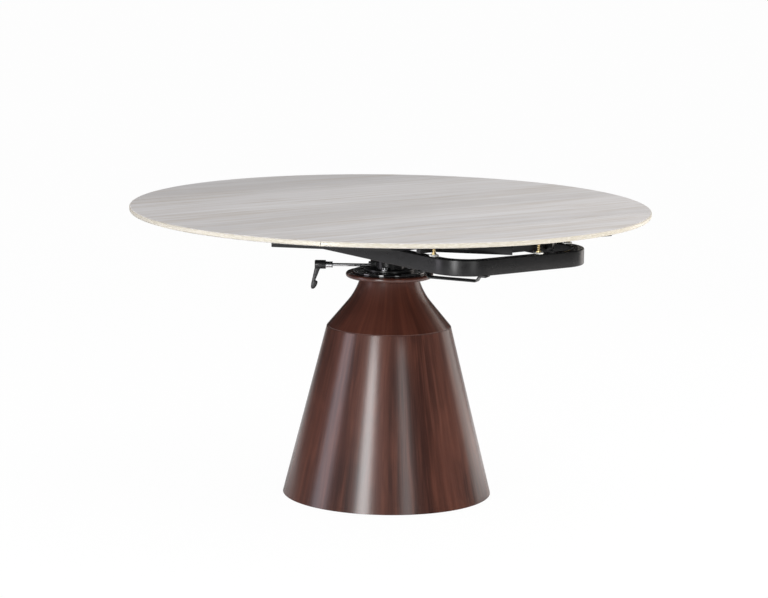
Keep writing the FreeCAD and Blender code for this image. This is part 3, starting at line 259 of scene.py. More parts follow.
@dataclass(frozen=True)
class StoneFinish:
    """Pale grey stone with straight veins along X, and a polished rim and underside whose creamy colour is
    written darker than it is, as painted shade against the strong front lamps.
    """

    cool: Colour = (0.575, 0.562, 0.562)
    light: Colour = (0.660, 0.646, 0.646)
    warm: Colour = (0.510, 0.462, 0.412)
    pale: Colour = (0.760, 0.755, 0.765)
    # rim: darker than the stone's real pale edge colour, as painted shade that offsets the strong front
    # lamps; used on the rim and the underside.
    rim: Colour = (0.455, 0.425, 0.350)
    rim_radius: float = 0.6722
    rim_fade: float = 0.0014
    underside: float = 0.7482
    underside_fade: float = 0.0002
    sway_width: float = 0.06
    polish_depth: float = 0.00003

    def material(self) -> bpy.types.Material:
        """Mixes the finish.

        Returns:
            The material.
        """
        sheet = ShaderSheet("veined_stone")
        x, y, z = sheet.place()
        sway = sheet.noise(sheet.vector(x * 1.1, y * 2.0, z), 1.6, 2.0)
        drift = y + (sway - 0.5) * self.sway_width
        broad = sheet.noise(sheet.vector(x * 0.35, drift * 5.0, z), 1.0, 3.0, 0.55)
        bands = sheet.noise(sheet.vector(x * 0.6 + 3.0, drift * 15.0, z), 1.0, 4.0, 0.6)
        streaks = sheet.noise(sheet.vector(x * 1.4 + 7.0, drift * 36.0, z), 1.0, 4.0, 0.65, 0.2)
        fibres = sheet.noise(sheet.vector(x * 3.0, drift * 110.0, z), 1.0, 3.0, 0.6)
        clouds = sheet.noise(sheet.vector(x, y * 2.0, z), 14.0, 5.0, 0.6)
        colour = sheet.mix(broad.step(0.36, 0.64), self.cool, self.light)
        colour = sheet.mix(bands.step(0.54, 0.70) * 0.34, colour, self.warm)
        colour = sheet.mix((1.0 - bands).step(0.54, 0.70) * 0.36, colour, self.pale)
        colour = sheet.mix(streaks.step(0.52, 0.66) * 0.62, colour, self.warm)
        colour = sheet.mix((1.0 - streaks).step(0.54, 0.68) * 0.46, colour, self.pale)
        colour = sheet.mix(fibres.step(0.48, 0.66) * 0.42, colour, self.warm)
        colour = sheet.mix(clouds.step(0.40, 0.80) * 0.20, colour, self.light)
        reach = (x * x + y * y).power(0.5)
        edge = reach.step(self.rim_radius, self.rim_radius + self.rim_fade)
        under = (self.underside - z).step(-self.underside_fade, self.underside_fade)
        bare = sheet.sum("MAXIMUM", edge, under)
        grain = sheet.noise(sheet.vector(x, y, z * 3.0), 90.0, 4.0)
        # Rim and underside colour: their own pale tone, mixed from the rim colour that is darkened as painted
        # shade.
        cream_and_painted_shade = sheet.mix(grain.step(0.35, 0.75) * 0.25, self.rim, self.pale)
        colour = sheet.mix(bare, colour, cream_and_painted_shade)
        roughness = 0.40 + clouds * 0.12 - bare * 0.12
        return sheet.finish(Base_Color=colour, Roughness=roughness, Specular_IOR_Level=0.42,
                            Normal=sheet.bump(fibres + clouds, self.polish_depth, 0.6))


@dataclass(frozen=True)
class WalnutFinish:
    """Dark reddish walnut veneer with upright grain under a satin lacquer.

    The grain is read on an upright cylinder of the wrap radius, so that it runs up the cone without a seam.
    """

    name: str
    dark: Colour = (0.028, 0.0080, 0.0052)
    middle: Colour = (0.070, 0.0215, 0.0132)
    light: Colour = (0.142, 0.0475, 0.0285)
    lacquer_roughness: float = 0.22
    ripple: float = 0.000035
    offset: float = 0.0
    wrap_radius: float = 0.25

    def material(self) -> bpy.types.Material:
        """Mixes the finish.

        Returns:
            The material.
        """
        sheet = ShaderSheet(self.name)
        x, y, z = sheet.place()
        reach = (x * x + y * y).power(0.5) + 0.0001
        east, north = x / reach * self.wrap_radius, y / reach * self.wrap_radius

        def grain(lengthwise: float, scale: float, detail: float, distortion: float = 0.0) -> Signal:
            """Returns noise drawn out along the height."""
            point = sheet.vector(east + self.offset, north, z * lengthwise + self.offset)
            return sheet.noise(point, scale, detail, 0.55, distortion)

        broad = grain(0.30, 8.0, 2.0, 0.4)
        figure = (broad * 60.0 + grain(0.10, 46.0, 3.0) * 4.0).sine() * 0.5 + 0.5
        streaks = grain(0.05, 75.0, 4.0)
        fibres = grain(0.022, 420.0, 3.0)
        pores = grain(0.05, 900.0, 2.0)
        colour = sheet.mix(broad.step(0.34, 0.64), self.dark, self.middle)
        colour = sheet.mix(streaks.step(0.40, 0.78) * 0.42, colour, self.light)
        colour = sheet.mix(figure.power(2.0) * 0.20, colour, self.dark)
        colour = sheet.mix((1.0 - streaks).step(0.50, 0.80) * 0.22, colour, self.dark)
        colour = sheet.mix(fibres.step(0.45, 0.80) * 0.20, colour, self.light)
        colour = sheet.mix(pores.step(0.62, 0.72) * 0.40, colour, self.dark)
        chatter = sheet.noise(sheet.vector(east * 0.35, north * 0.35, z), 420.0, 2.0, 0.6)
        height = chatter + pores * -0.4 + fibres * 0.3
        return sheet.finish(Base_Color=colour, Roughness=0.46 + fibres * 0.12, Specular_IOR_Level=0.15,
                            Coat_Weight=0.9, Coat_Roughness=self.lacquer_roughness,
                            Normal=sheet.bump(height, self.ripple))


@dataclass(frozen=True)
class PaintedSteelFinish:
    """Black coating on steel, with a fine orange-peel skin and faint handling marks."""

    name: str
    colour: Colour = (0.006, 0.006, 0.0063)
    roughness: float = 0.30
    peel: float = 0.00002
    coat: float = 0.0

    def material(self) -> bpy.types.Material:
        """Mixes the finish.

        Returns:
            The material.
        """
        sheet = ShaderSheet(self.name)
        x, y, z = sheet.place()
        point = sheet.vector(x, y, z)
        skin = sheet.noise(point, 900.0, 2.0)
        marks = sheet.noise(sheet.vector(x, y, z * 2.0), 35.0, 5.0, 0.65)
        worn = tuple(min(1.0, part * 1.9 + 0.004) for part in self.colour)
        colour = sheet.mix(marks.step(0.50, 0.80) * 0.5, self.colour, worn)
        return sheet.finish(Base_Color=colour, Roughness=self.roughness + (marks - 0.5) * 0.22,
                            Specular_IOR_Level=0.32, Coat_Weight=self.coat, Coat_Roughness=0.06,
                            Normal=sheet.bump(skin, self.peel))


@dataclass(frozen=True)
class BareMetalFinish:
    """Plated or turned metal with faint tool marks."""

    name: str
    colour: Colour
    roughness: float
    marks: float = 0.10
    line_depth: float = 0.000008

    def material(self) -> bpy.types.Material:
        """Mixes the finish.

        Returns:
            The material.
        """
        sheet = ShaderSheet(self.name)
        x, y, z = sheet.place()
        stain = sheet.noise(sheet.vector(x, y, z), 120.0, 4.0, 0.6)
        lines = sheet.noise(sheet.vector(x * 3.0, y * 3.0, z * 3.0), 900.0, 3.0)
        dull = tuple(part * 0.72 for part in self.colour)
        colour = sheet.mix(stain.step(0.45, 0.80) * 0.6, self.colour, dull)
        return sheet.finish(Base_Color=colour, Metallic=1.0,
                            Roughness=self.roughness + stain * self.marks + lines * 0.04,
                            Normal=sheet.bump(lines, self.line_depth))


@dataclass(frozen=True)
class MouldedFinish:
    """Moulded plastic with a fine even grain and slight shade changes."""

    name: str
    colour: Colour
    roughness: float = 0.45
    grain: float = 0.00002

    def material(self) -> bpy.types.Material:
        """Mixes the finish.

        Returns:
            The material.
        """
        sheet = ShaderSheet(self.name)
        x, y, z = sheet.place()
        point = sheet.vector(x, y, z)
        texture = sheet.noise(point, 1500.0, 2.0)
        shade = sheet.noise(point, 60.0, 3.0)
        deeper = tuple(part * 0.78 for part in self.colour)
        colour = sheet.mix(shade.step(0.40, 0.75) * 0.6, self.colour, deeper)
        return sheet.finish(Base_Color=colour, Roughness=self.roughness + (shade - 0.5) * 0.16,
                            Normal=sheet.bump(texture, self.grain))


@dataclass(frozen=True)
class LayeredBoardFinish:
    """Plywood: pale plies stacked along the height, with a plain grained face."""

    name: str
    pale: Colour = (0.52, 0.36, 0.20)
    deep: Colour = (0.30, 0.18, 0.09)
    ply: float = 0.0015
    grain_depth: float = 0.00008

    def material(self) -> bpy.types.Material:
        """Mixes the finish.

        Returns:
            The material.
        """
        sheet = ShaderSheet(self.name)
        x, y, z = sheet.place()
        plies = (z * (math.pi / self.ply)).sine() * 0.5 + 0.5
        grain = sheet.noise(sheet.vector(x * 2.0, y * 30.0, z * 30.0), 6.0, 4.0, 0.6, 0.3)
        colour = sheet.mix(plies.step(0.45, 0.75) * 0.65, self.pale, self.deep)
        colour = sheet.mix(grain.step(0.40, 0.75) * 0.5, colour, self.deep)
        return sheet.finish(Base_Color=colour, Roughness=0.62 + grain * 0.1,
                            Normal=sheet.bump(grain, self.grain_depth))


class Finish(Enum):
    """The finishes that the table has."""

    STONE = StoneFinish()
    WALNUT_CONE = WalnutFinish("walnut_cone")
    WALNUT_NECK = WalnutFinish("walnut_neck", dark=(0.036, 0.0102, 0.0062), middle=(0.066, 0.0190, 0.0115),
                               light=(0.108, 0.0345, 0.0205), offset=2.3)
    BLACK_STEEL = PaintedSteelFinish("satin_black_steel")
    GLOSS_BLACK = PaintedSteelFinish("gloss_black_steel", (0.006, 0.006, 0.007), 0.10, 0.000006, 1.0)
    BLACK_BOARD = PaintedSteelFinish("black_board", (0.014, 0.0135, 0.013), 0.55, 0.00004)
    BLACK_SCREW = PaintedSteelFinish("blackened_screw", (0.012, 0.012, 0.0125), 0.34, 0.00001)
    BRIGHT = BareMetalFinish("bright_plated_steel", (0.78, 0.79, 0.81), 0.10)
    TURNED = BareMetalFinish("turned_steel", (0.50, 0.50, 0.51), 0.26)
    BRASS = BareMetalFinish("yellow_plated_steel", (0.70, 0.55, 0.28), 0.22)
    ZINC = BareMetalFinish("zinc_plated_steel", (0.62, 0.62, 0.60), 0.20)
    WHITE_NYLON = MouldedFinish("white_nylon", (0.82, 0.82, 0.79), 0.42)
    BUSH = MouldedFinish("bearing_plastic", (0.22, 0.21, 0.17), 0.5)
    BLACK_NYLON = MouldedFinish("black_nylon", (0.020, 0.020, 0.020), 0.5)
    LEVER = MouldedFinish("lever_plastic", (0.011, 0.011, 0.012), 0.36, 0.00003)
    PLYWOOD = LayeredBoardFinish("plywood")


class Body(Enum):
    """The bodies that pieces move with."""

    PEDESTAL = "pedestal"
    TABLE_TOP = "table_top"
    NEAR_LEAF = "near_leaf"
    FAR_LEAF = "far_leaf"
    CLAMP_SHAFT = "clamp_shaft"
    LEVER = "lever"


LEAVES: dict[str, Body] = {"near": Body.NEAR_LEAF, "far": Body.FAR_LEAF}


class Paints:
    """Makes each finish's material once."""

    def __init__(self) -> None:
        """Starts with no materials."""
        self._made: dict[Finish, bpy.types.Material] = {}

    def get(self, finish: Finish) -> bpy.types.Material:
        """Gives a finish's material.

        Args:
            finish: The finish.

        Returns:
            Its material, the same one each time.
        """
        if finish not in self._made:
            self._made[finish] = finish.value.material()
        return self._made[finish]

    def dress(self, finish: Finish, *nodes: str) -> None:
        """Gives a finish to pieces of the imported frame.

        Args:
            finish: The finish.
            nodes: The pieces' names.
        """
        for name in nodes:
            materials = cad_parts[name].data.materials
            materials.clear()
            materials.append(self.get(finish))
            LOG.info("dressed %s", name)


# Mesh making


class Outline(Enum):
    """The outline of a turned ring."""

    ROUND = "round"
    HEX = "hexagonal"


@dataclass(frozen=True)
class Ring:
    """One ring of a turned mesh, in millimetres."""

    radius: float
    height: float
    outline: Outline = Outline.ROUND

    def reach(self, turn: float) -> float:
        """Measures the ring at a turn.

        Args:
            turn: The turn about the axis in radians.

        Returns:
            The reach from the axis in millimetres.
        """
        if self.outline is Outline.ROUND:
            return self.radius
        sixth = math.pi / 3
        return self.radius * math.cos(sixth / 2) / math.cos((turn % sixth) - sixth / 2)


def round_rings(*points: tuple[float, float]) -> list[Ring]:
    """Returns round rings of (radius, height) pairs."""
    return [Ring(radius, height) for radius, height in points]


class Workpiece:
    """A mesh under construction, in metres."""

    def __init__(self, name: str) -> None:
        """Starts an empty mesh.

        Args:
            name: The piece's name.
        """
        self.name = name
        self.mesh = bmesh.new()

    def turned(self, rings: Sequence[Ring], segments: int = 48, at: Matrix | None = None,
               closed: bool = False) -> "Workpiece":
        """Adds a turned shape about the local Z axis.

        Args:
            rings: The rings from end to end; a radius of 0 makes a pole.
            segments: Vertices round each ring.
            at: Where the shape goes.
            closed: Joins the last ring to the first, as on a tube.

        Returns:
            This workpiece.
        """
        matrix = at or Matrix.Identity(4)
        loops = []
        for ring in rings:
            count = 1 if ring.radius == 0 else segments
            loop = []
            for step in range(count):
                turn = 2 * math.pi * step / segments
                reach = ring.reach(turn) * MM
                point = Vector((reach * math.cos(turn), reach * math.sin(turn), ring.height * MM))
                loop.append(self.mesh.verts.new(matrix @ point))
            loops.append(loop)
        pairs = list(zip(loops, loops[1:] + loops[:1])) if closed else list(zip(loops, loops[1:]))
        for low, high in pairs:
            self._bridge(low, high, segments)
        if not closed:
            for loop in (loops[0], loops[-1]):
                if len(loop) > 1:
                    self.mesh.faces.new(loop)
        return self

    def _bridge(self, low: Sequence[bmesh.types.BMVert], high: Sequence[bmesh.types.BMVert],
                segments: int) -> None:
        """Joins two neighbouring rings with faces.

        Args:
            low: The first ring's vertices, or its pole.
            high: The second ring's.
            segments: Vertices round a full ring.
        """
        for step in range(segments):
            after = (step + 1) % segments
            if len(low) == 1:
                self.mesh.faces.new((low[0], high[after], high[step]))
            elif len(high) == 1:
                self.mesh.faces.new((low[step], low[after], high[0]))
            else:
                self.mesh.faces.new((low[step], low[after], high[after], high[step]))

    def lofted(self, sections: Sequence[Sequence[Vector]]) -> "Workpiece":
        """Adds a closed skin through sections of equally many points.

        Args:
            sections: The sections from end to end.

        Returns:
            This workpiece.
        """
        loops = [[self.mesh.verts.new(point) for point in section] for section in sections]
        for low, high in zip(loops, loops[1:]):
            self._bridge(low, high, len(low))
        for loop in (loops[0], loops[-1]):
            self.mesh.faces.new(loop)
        return self

    def done(self, smooth: float = 35.0) -> bpy.types.Object:
        """Turns the workpiece into an object at the origin.

        Args:
            smooth: Edges sharper than this angle in degrees stay sharp.

        Returns:
            The object.
        """
        bmesh.ops.recalc_face_normals(self.mesh, faces=self.mesh.faces)
        data = bpy.data.meshes.new(self.name)
        self.mesh.to_mesh(data)
        self.mesh.free()
        return shown(self.name, data, smooth)


def shown(name: str, data: bpy.types.Mesh, smooth: float = 35.0) -> bpy.types.Object:
    """Puts a mesh in the scene as an object at the origin, smooth but for its sharp edges.

    Args:
        name: The object's name.
        data: The mesh.
        smooth: Edges sharper than this angle in degrees stay sharp.

    Returns:
        The object.
    """
    data.shade_smooth()
    data.set_sharp_from_angle(angle=math.radians(smooth))
    piece = bpy.data.objects.new(name, data)
    bpy.context.scene.collection.objects.link(piece)
    return piece


def baked(carrier: bpy.types.Object, name: str, smooth: float = 35.0) -> bpy.types.Object:
    """Turns an object with modifiers into a plain mesh object and removes it.

    Args:
        carrier: The object with its modifiers.
        name: The new object's name.
        smooth: Edges sharper than this angle in degrees stay sharp.

    Returns:
        The plain object.
    """
    graph = bpy.context.evaluated_depsgraph_get()
    data = bpy.data.meshes.new_from_object(carrier.evaluated_get(graph))
    bpy.data.objects.remove(carrier)
    data.name = name
    return shown(name, data, smooth)


def softened(node: str, width: float) -> bpy.types.Object:
    """Copies a piece of the frame and rounds its sharp edges slightly.

    Args:
        node: The piece's name.
        width: The rounding in millimetres.

    Returns:
        The rounded copy.
    """
    work = bmesh.new()
    work.from_mesh(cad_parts[node].data)
    bmesh.ops.remove_doubles(work, verts=work.verts, dist=MERGE_GAP)
    bmesh.ops.dissolve_limit(work, angle_limit=FLAT_ANGLE, verts=work.verts, edges=work.edges)
    bmesh.ops.recalc_face_normals(work, faces=work.faces)
    data = bpy.data.meshes.new(node + "_eased")
    work.to_mesh(data)
    work.free()
    carrier = shown(node + "_carrier", data)
    bevel = carrier.modifiers.new("ease", "BEVEL")
    bevel.width = width * MM
    bevel.segments = EASED_STEPS
    bevel.limit_method = "ANGLE"
    bevel.angle_limit = EASED_ANGLE
    return baked(carrier, node + "_eased")


# Geometry Nodes


class Growth:
    """A Geometry Nodes tree with named inputs, ended in Realize Instances and Set Material."""

    def __init__(self, name: str) -> None:
        """Makes the tree with its geometry and material inputs.

        Args:
            name: The tree's name.
        """
        self.tree = bpy.data.node_groups.new(name, "GeometryNodeTree")
        self.entry = self.tree.nodes.new("NodeGroupInput")
        self.exit = self.tree.nodes.new("NodeGroupOutput")
        self.keys: dict[str, str] = {}
        self.tree.interface.new_socket("Geometry", in_out="OUTPUT", socket_type="NodeSocketGeometry")
        self.source = self.ask("Geometry", "NodeSocketGeometry")
        self.paint = self.ask("Material", "NodeSocketMaterial")

    def ask(self, name: str, kind: str = "NodeSocketFloat") -> bpy.types.NodeSocket:
        """Adds a named input.

        Args:
            name: The input's name.
            kind: Its socket's type.

        Returns:
            Its socket inside the tree.
        """
        item = self.tree.interface.new_socket(name, in_out="INPUT", socket_type=kind)
        self.keys[name] = item.identifier
        return self.entry.outputs[name]

    def add(self, kind: str, settings: dict | None = None, sockets: dict | None = None,
            output: int = 0) -> bpy.types.NodeSocket:
        """Adds a node.

        Args:
            kind: The node's type.
            settings: Its settings.
            sockets: Its inputs by name or number, each a value or a socket.
            output: The number of the output to return.

        Returns:
            The chosen output.
        """
        node = self.tree.nodes.new(kind)
        for key, value in (settings or {}).items():
            setattr(node, key, value)
        for key, value in (sockets or {}).items():
            if isinstance(value, bpy.types.NodeSocket):
                self.tree.links.new(value, node.inputs[key])
            else:
                node.inputs[key].default_value = value
        return node.outputs[output]

    def close(self, geometry: bpy.types.NodeSocket) -> "Growth":
        """Ends the tree in real, painted geometry.

        Args:
            geometry: What the tree has made.

        Returns:
            The finished tree.
        """
        real = self.add("GeometryNodeRealizeInstances", sockets={"Geometry": geometry})
        painted = self.add("GeometryNodeSetMaterial", sockets={"Geometry": real, "Material": self.paint})
        self.tree.links.new(painted, self.exit.inputs[0])
        return self

    def grow(self, name: str, carrier: bpy.types.Object, smooth: float = 35.0,
             **values: object) -> bpy.types.Object:
        """Runs the tree on an object and keeps the result as a plain mesh.

        Args:
            name: The new piece's name.
            carrier: The object that the tree reads, removed afterwards.
            smooth: Edges sharper than this angle in degrees stay sharp.
            values: The inputs by name.

        Returns:
            The grown piece.
        """
        modifier = carrier.modifiers.new("grow", "NODES")
        modifier.node_group = self.tree
        for key, value in values.items():
            modifier[self.keys[key]] = value
        return baked(carrier, name, smooth)


def points_object(name: str, seats: Sequence[Seat]) -> bpy.types.Object:
    """Makes a mesh of loose points that remember the way each fitting faces.

    Args:
        name: The object's name.
        seats: Each seat's place in metres and the way that its fitting's local Z points.

    Returns:
        The object.
    """
    data = bpy.data.meshes.new(name)
    data.from_pydata([place for place, _ in seats], [], [])
    turns = data.attributes.new("turn", "FLOAT_VECTOR", "POINT")
    for index, (_, facing) in enumerate(seats):
        turns.data[index].vector = Vector(facing).to_track_quat("Z", "Y").to_euler()
    carrier = bpy.data.objects.new(name, data)
    bpy.context.scene.collection.objects.link(carrier)
    return carrier


def fitting_tree() -> Growth:
    """Draws the tree that puts one fitting on each seat.

    Returns:
        The tree.
    """
    growth = Growth("fittings_on_seats")
    fitting = growth.ask("Fitting", "NodeSocketObject")
    shape = growth.add("GeometryNodeObjectInfo", sockets={"Object": fitting}, output=4)
    turn = growth.add("GeometryNodeInputNamedAttribute", {"data_type": "FLOAT_VECTOR"}, {"Name": "turn"})
    points = growth.add("GeometryNodeInstanceOnPoints",
                        sockets={"Points": growth.source, "Instance": shape, "Rotation": turn})
    return growth.close(points)


def bead_tree() -> Growth:
    """Draws the tree that lays a weld's overlapping scales along the edges of a mesh.

    Returns:
        The tree.
    """
    growth = Growth("weld_bead")
    radius = growth.ask("Radius")
    pitch = growth.ask("Pitch")
    path = growth.add("GeometryNodeMeshToCurve", sockets={"Mesh": growth.source})
    path = growth.add("GeometryNodeResampleCurve", {"mode": "LENGTH"}, {"Curve": path, "Length": pitch})
    scale = growth.add("GeometryNodeMeshUVSphere", sockets={"Segments": 8, "Rings": 5, "Radius": radius})
    size = growth.add("FunctionNodeRandomValue", {"data_type": "FLOAT"},
                      {2: BEAD_SIZES[0], 3: BEAD_SIZES[1], "Seed": BEAD_SEED}, output=1)
    beads = growth.add("GeometryNodeInstanceOnPoints",
                       sockets={"Points": path, "Instance": scale, "Scale": size})
    return growth.close(beads)


def tube_tree() -> Growth:
    """Draws the tree that bends a rounded rectangular tube into a closed rounded rectangle.

    Returns:
        The tree.
    """
    growth = Growth("bent_tube")
    width, length = growth.ask("Width"), growth.ask("Length")
    corner = growth.ask("Corner")
    wide, tall, edge = growth.ask("Tube_width"), growth.ask("Tube_height"), growth.ask("Edge")
    low = growth.ask("Height")
    path = growth.add("GeometryNodeCurvePrimitiveQuadrilateral", sockets={"Width": width, "Height": length})
    path = growth.add("GeometryNodeFilletCurve", {"mode": "POLY"},
                      {"Curve": path, "Count": 28, "Radius": corner, "Limit Radius": True})
    path = growth.add("GeometryNodeSetCurveNormal", {"mode": "Z_UP"}, {"Curve": path})
    section = growth.add("GeometryNodeCurvePrimitiveQuadrilateral", sockets={"Width": wide, "Height": tall})
    section = growth.add("GeometryNodeFilletCurve", {"mode": "POLY"},
                         {"Curve": section, "Count": 5, "Radius": edge, "Limit Radius": True})
    tube = growth.add("GeometryNodeCurveToMesh", sockets={"Curve": path, "Profile Curve": section})
    lift = growth.add("ShaderNodeCombineXYZ", sockets={2: low})
    raised = growth.add("GeometryNodeTransform", sockets={"Geometry": tube, "Translation": lift})
    return growth.close(raised)


def thread_tree() -> Growth:
    """Draws the tree that winds a thread's ridge round each seat.

    Returns:
        The tree.
    """
    growth = Growth("thread_ridges")
    radius, length, turns = growth.ask("Radius"), growth.ask("Length"), growth.ask("Turns")
    ridge = growth.ask("Ridge")
    coil = growth.add("GeometryNodeCurveSpiral",
                      sockets={"Resolution": 14, "Rotations": turns, "Start Radius": radius,
                               "End Radius": radius, "Height": length})
    section = growth.add("GeometryNodeCurvePrimitiveCircle", sockets={"Resolution": 4, "Radius": ridge})
    wound = growth.add("GeometryNodeCurveToMesh",
                       sockets={"Curve": coil, "Profile Curve": section, "Fill Caps": True})
    points = growth.add("GeometryNodeInstanceOnPoints", sockets={"Points": growth.source, "Instance": wound})
    return growth.close(points)


class Workshop:
    """The tools that every sub-assembly uses: paints, trees and the last step of a piece."""

    def __init__(self) -> None:
        """Makes the paints and the trees."""
        self.paints = Paints()
        self.fittings = fitting_tree()
        self.beads = bead_tree()
        self.tubes = tube_tree()
        self.threads = thread_tree()

    def settle(self, piece: bpy.types.Object, finish: Finish, body: Body, *nodes: str) -> None:
        """Paints a finished piece and ties it to its body.

        Args:
            piece: The piece.
            finish: Its finish, which also gives the piece's material slot.
            body: The body that it moves with.
            nodes: The frame's pieces that it stands for.
        """
        piece.data.materials.clear()
        piece.data.materials.append(self.paints.get(finish))
        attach(piece, body.value)
        if nodes:
            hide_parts(*nodes)
        LOG.info("%s rides on %s: %d faces", piece.name, body.value, len(piece.data.polygons))

    def ease(self, node: str, body: Body, width: float, finish: Finish = Finish.BLACK_STEEL) -> None:
        """Puts a copy with rounded edges in the place of a piece of the frame."""
        self.settle(softened(node, width), finish, body, node)

    def seat(self, name: str, fitting: bpy.types.Object, seats: Sequence[Seat], finish: Finish, body: Body,
             node: str) -> None:
        """Repeats a fitting on its seats, removes the pattern and settles the result.

        Args:
            name: The new piece's name.
            fitting: The fitting, whose local Z points out of the surface.
            seats: Places and directions.
            finish: The finish.
            body: The body that the fittings move with.
            node: The frame's piece that they stand for.
        """
        carrier = points_object(name + "_seats", seats)
        piece = self.fittings.grow(name, carrier, Fitting=fitting, Material=self.paints.get(finish))
        bpy.data.objects.remove(fitting)
        self.settle(piece, finish, body, node)

    def weld(self, name: str, runs: Sequence[Sequence[Place]], body: Body, radius: float) -> None:
        """Lays weld beads along runs of points.

        Args:
            name: The new piece's name.
            runs: Each run's points in millimetres.
            body: The body that the weld moves with.
            radius: The bead's radius in millimetres.
        """
        points: list[Vector] = []
        edges: list[tuple[int, int]] = []
        for run in runs:
            start = len(points)
            points.extend(Vector(point) * MM for point in run)
            edges.extend((start + step, start + step + 1) for step in range(len(run) - 1))
        data = bpy.data.meshes.new(name + "_runs")
        data.from_pydata(points, edges, [])
        carrier = bpy.data.objects.new(name + "_runs", data)
        bpy.context.scene.collection.objects.link(carrier)
        finish = Finish.BLACK_STEEL
        piece = self.beads.grow(name, carrier, 80.0, Radius=radius * MM, Pitch=radius * BEAD_PITCH * MM,
                                Material=self.paints.get(finish))
        self.settle(piece, finish, body)


@dataclass(frozen=True)
class Screw:
    """A screw on its seat at height 0, its sizes in millimetres."""

    head: float
    tall: float
    shank: float
    length: float

    def capped(self, name: str) -> bpy.types.Object:
        """Makes a cap screw with a hexagonal socket, its head standing on the seat.

        Args:
            name: The screw's name.

        Returns:
            The screw.
        """
        head, tall = self.head, self.tall
        key = head * 0.52
        rings = round_rings((self.shank, -self.length), (self.shank, 0), (head, 0), (head, tall - 0.4),
                            (head - 0.4, tall), (key * 1.12, tall))
        rings += [Ring(key, tall, Outline.HEX), Ring(key, tall * 0.45, Outline.HEX), Ring(0, tall * 0.42)]
        return Workpiece(name).turned(rings, 36).done()

    def flush(self, name: str) -> bpy.types.Object:
        """Makes a countersunk screw with a hexagonal socket, its head flush with the seat.

        Args:
            name: The screw's name.

        Returns:
            The screw.
        """
        head, tall = self.head, self.tall
        key = head * 0.42
        rings = round_rings((self.shank, -self.length), (self.shank, -tall), (head - 0.1, -0.15),
                            (head - 0.25, 0.02), (key * 1.1, 0.02))
        rings += [Ring(key, 0, Outline.HEX), Ring(key, -tall * 0.7, Outline.HEX), Ring(0, -tall * 0.74)]
        return Workpiece(name).turned(rings, 24).done()

    def hexagon(self, name: str, washer: float, thick: float) -> bpy.types.Object:
        """Makes a hexagon bolt that stands on a washer.

        Args:
            name: The bolt's name.
            washer: The washer's radius.
            thick: The washer's thickness.

        Returns:
            The bolt and its washer as one mesh.
        """
        work = Workpiece(name)
        work.turned(round_rings((self.shank, -self.length), (self.shank, 0), (washer - 0.2, 0), (washer, 0.2),
                                (washer, thick - 0.2), (washer - 0.2, thick), (0, thick)), 48)
        head, top = self.head, thick + self.tall
        rings = [Ring(head * 0.86, thick), Ring(head, thick + 0.35, Outline.HEX),
                 Ring(head, top - 0.9, Outline.HEX), Ring(head * 0.90, top - 0.25), Ring(head * 0.84, top),
                 Ring(0, top)]
        return work.turned(rings, 48).done(25.0)


def polar(radius: float, degrees: float, height: float) -> Place:
    """Returns a place in metres from a radius and height in millimetres and a direction."""
    turn = math.radians(degrees)
    return (radius * MM * math.cos(turn), radius * MM * math.sin(turn), height * MM)


def circle_seats(count: int, radius: float, heading: float, height: float) -> list[Seat]:
    """Returns upward seats spread evenly round the Z axis, from sizes in millimetres and degrees."""
    return [(polar(radius, heading + 360 / count * step, height), UP) for step in range(count)]


# Sub-assemblies, with their sizes in millimetres and headings in degrees


@dataclass
class StoneTop:
    """The stone panels and the black boards under them."""

    shop: Workshop
    slabs: tuple[str, ...] = ("middle_slab", "near_slab", "far_slab")
    boards: tuple[str, ...] = ("middle_board", "near_board", "far_board")

    def build(self) -> None:
        """Dresses the panels and boards."""
        self.shop.paints.dress(Finish.STONE, *self.slabs)
        self.shop.paints.dress(Finish.BLACK_BOARD, *self.boards)


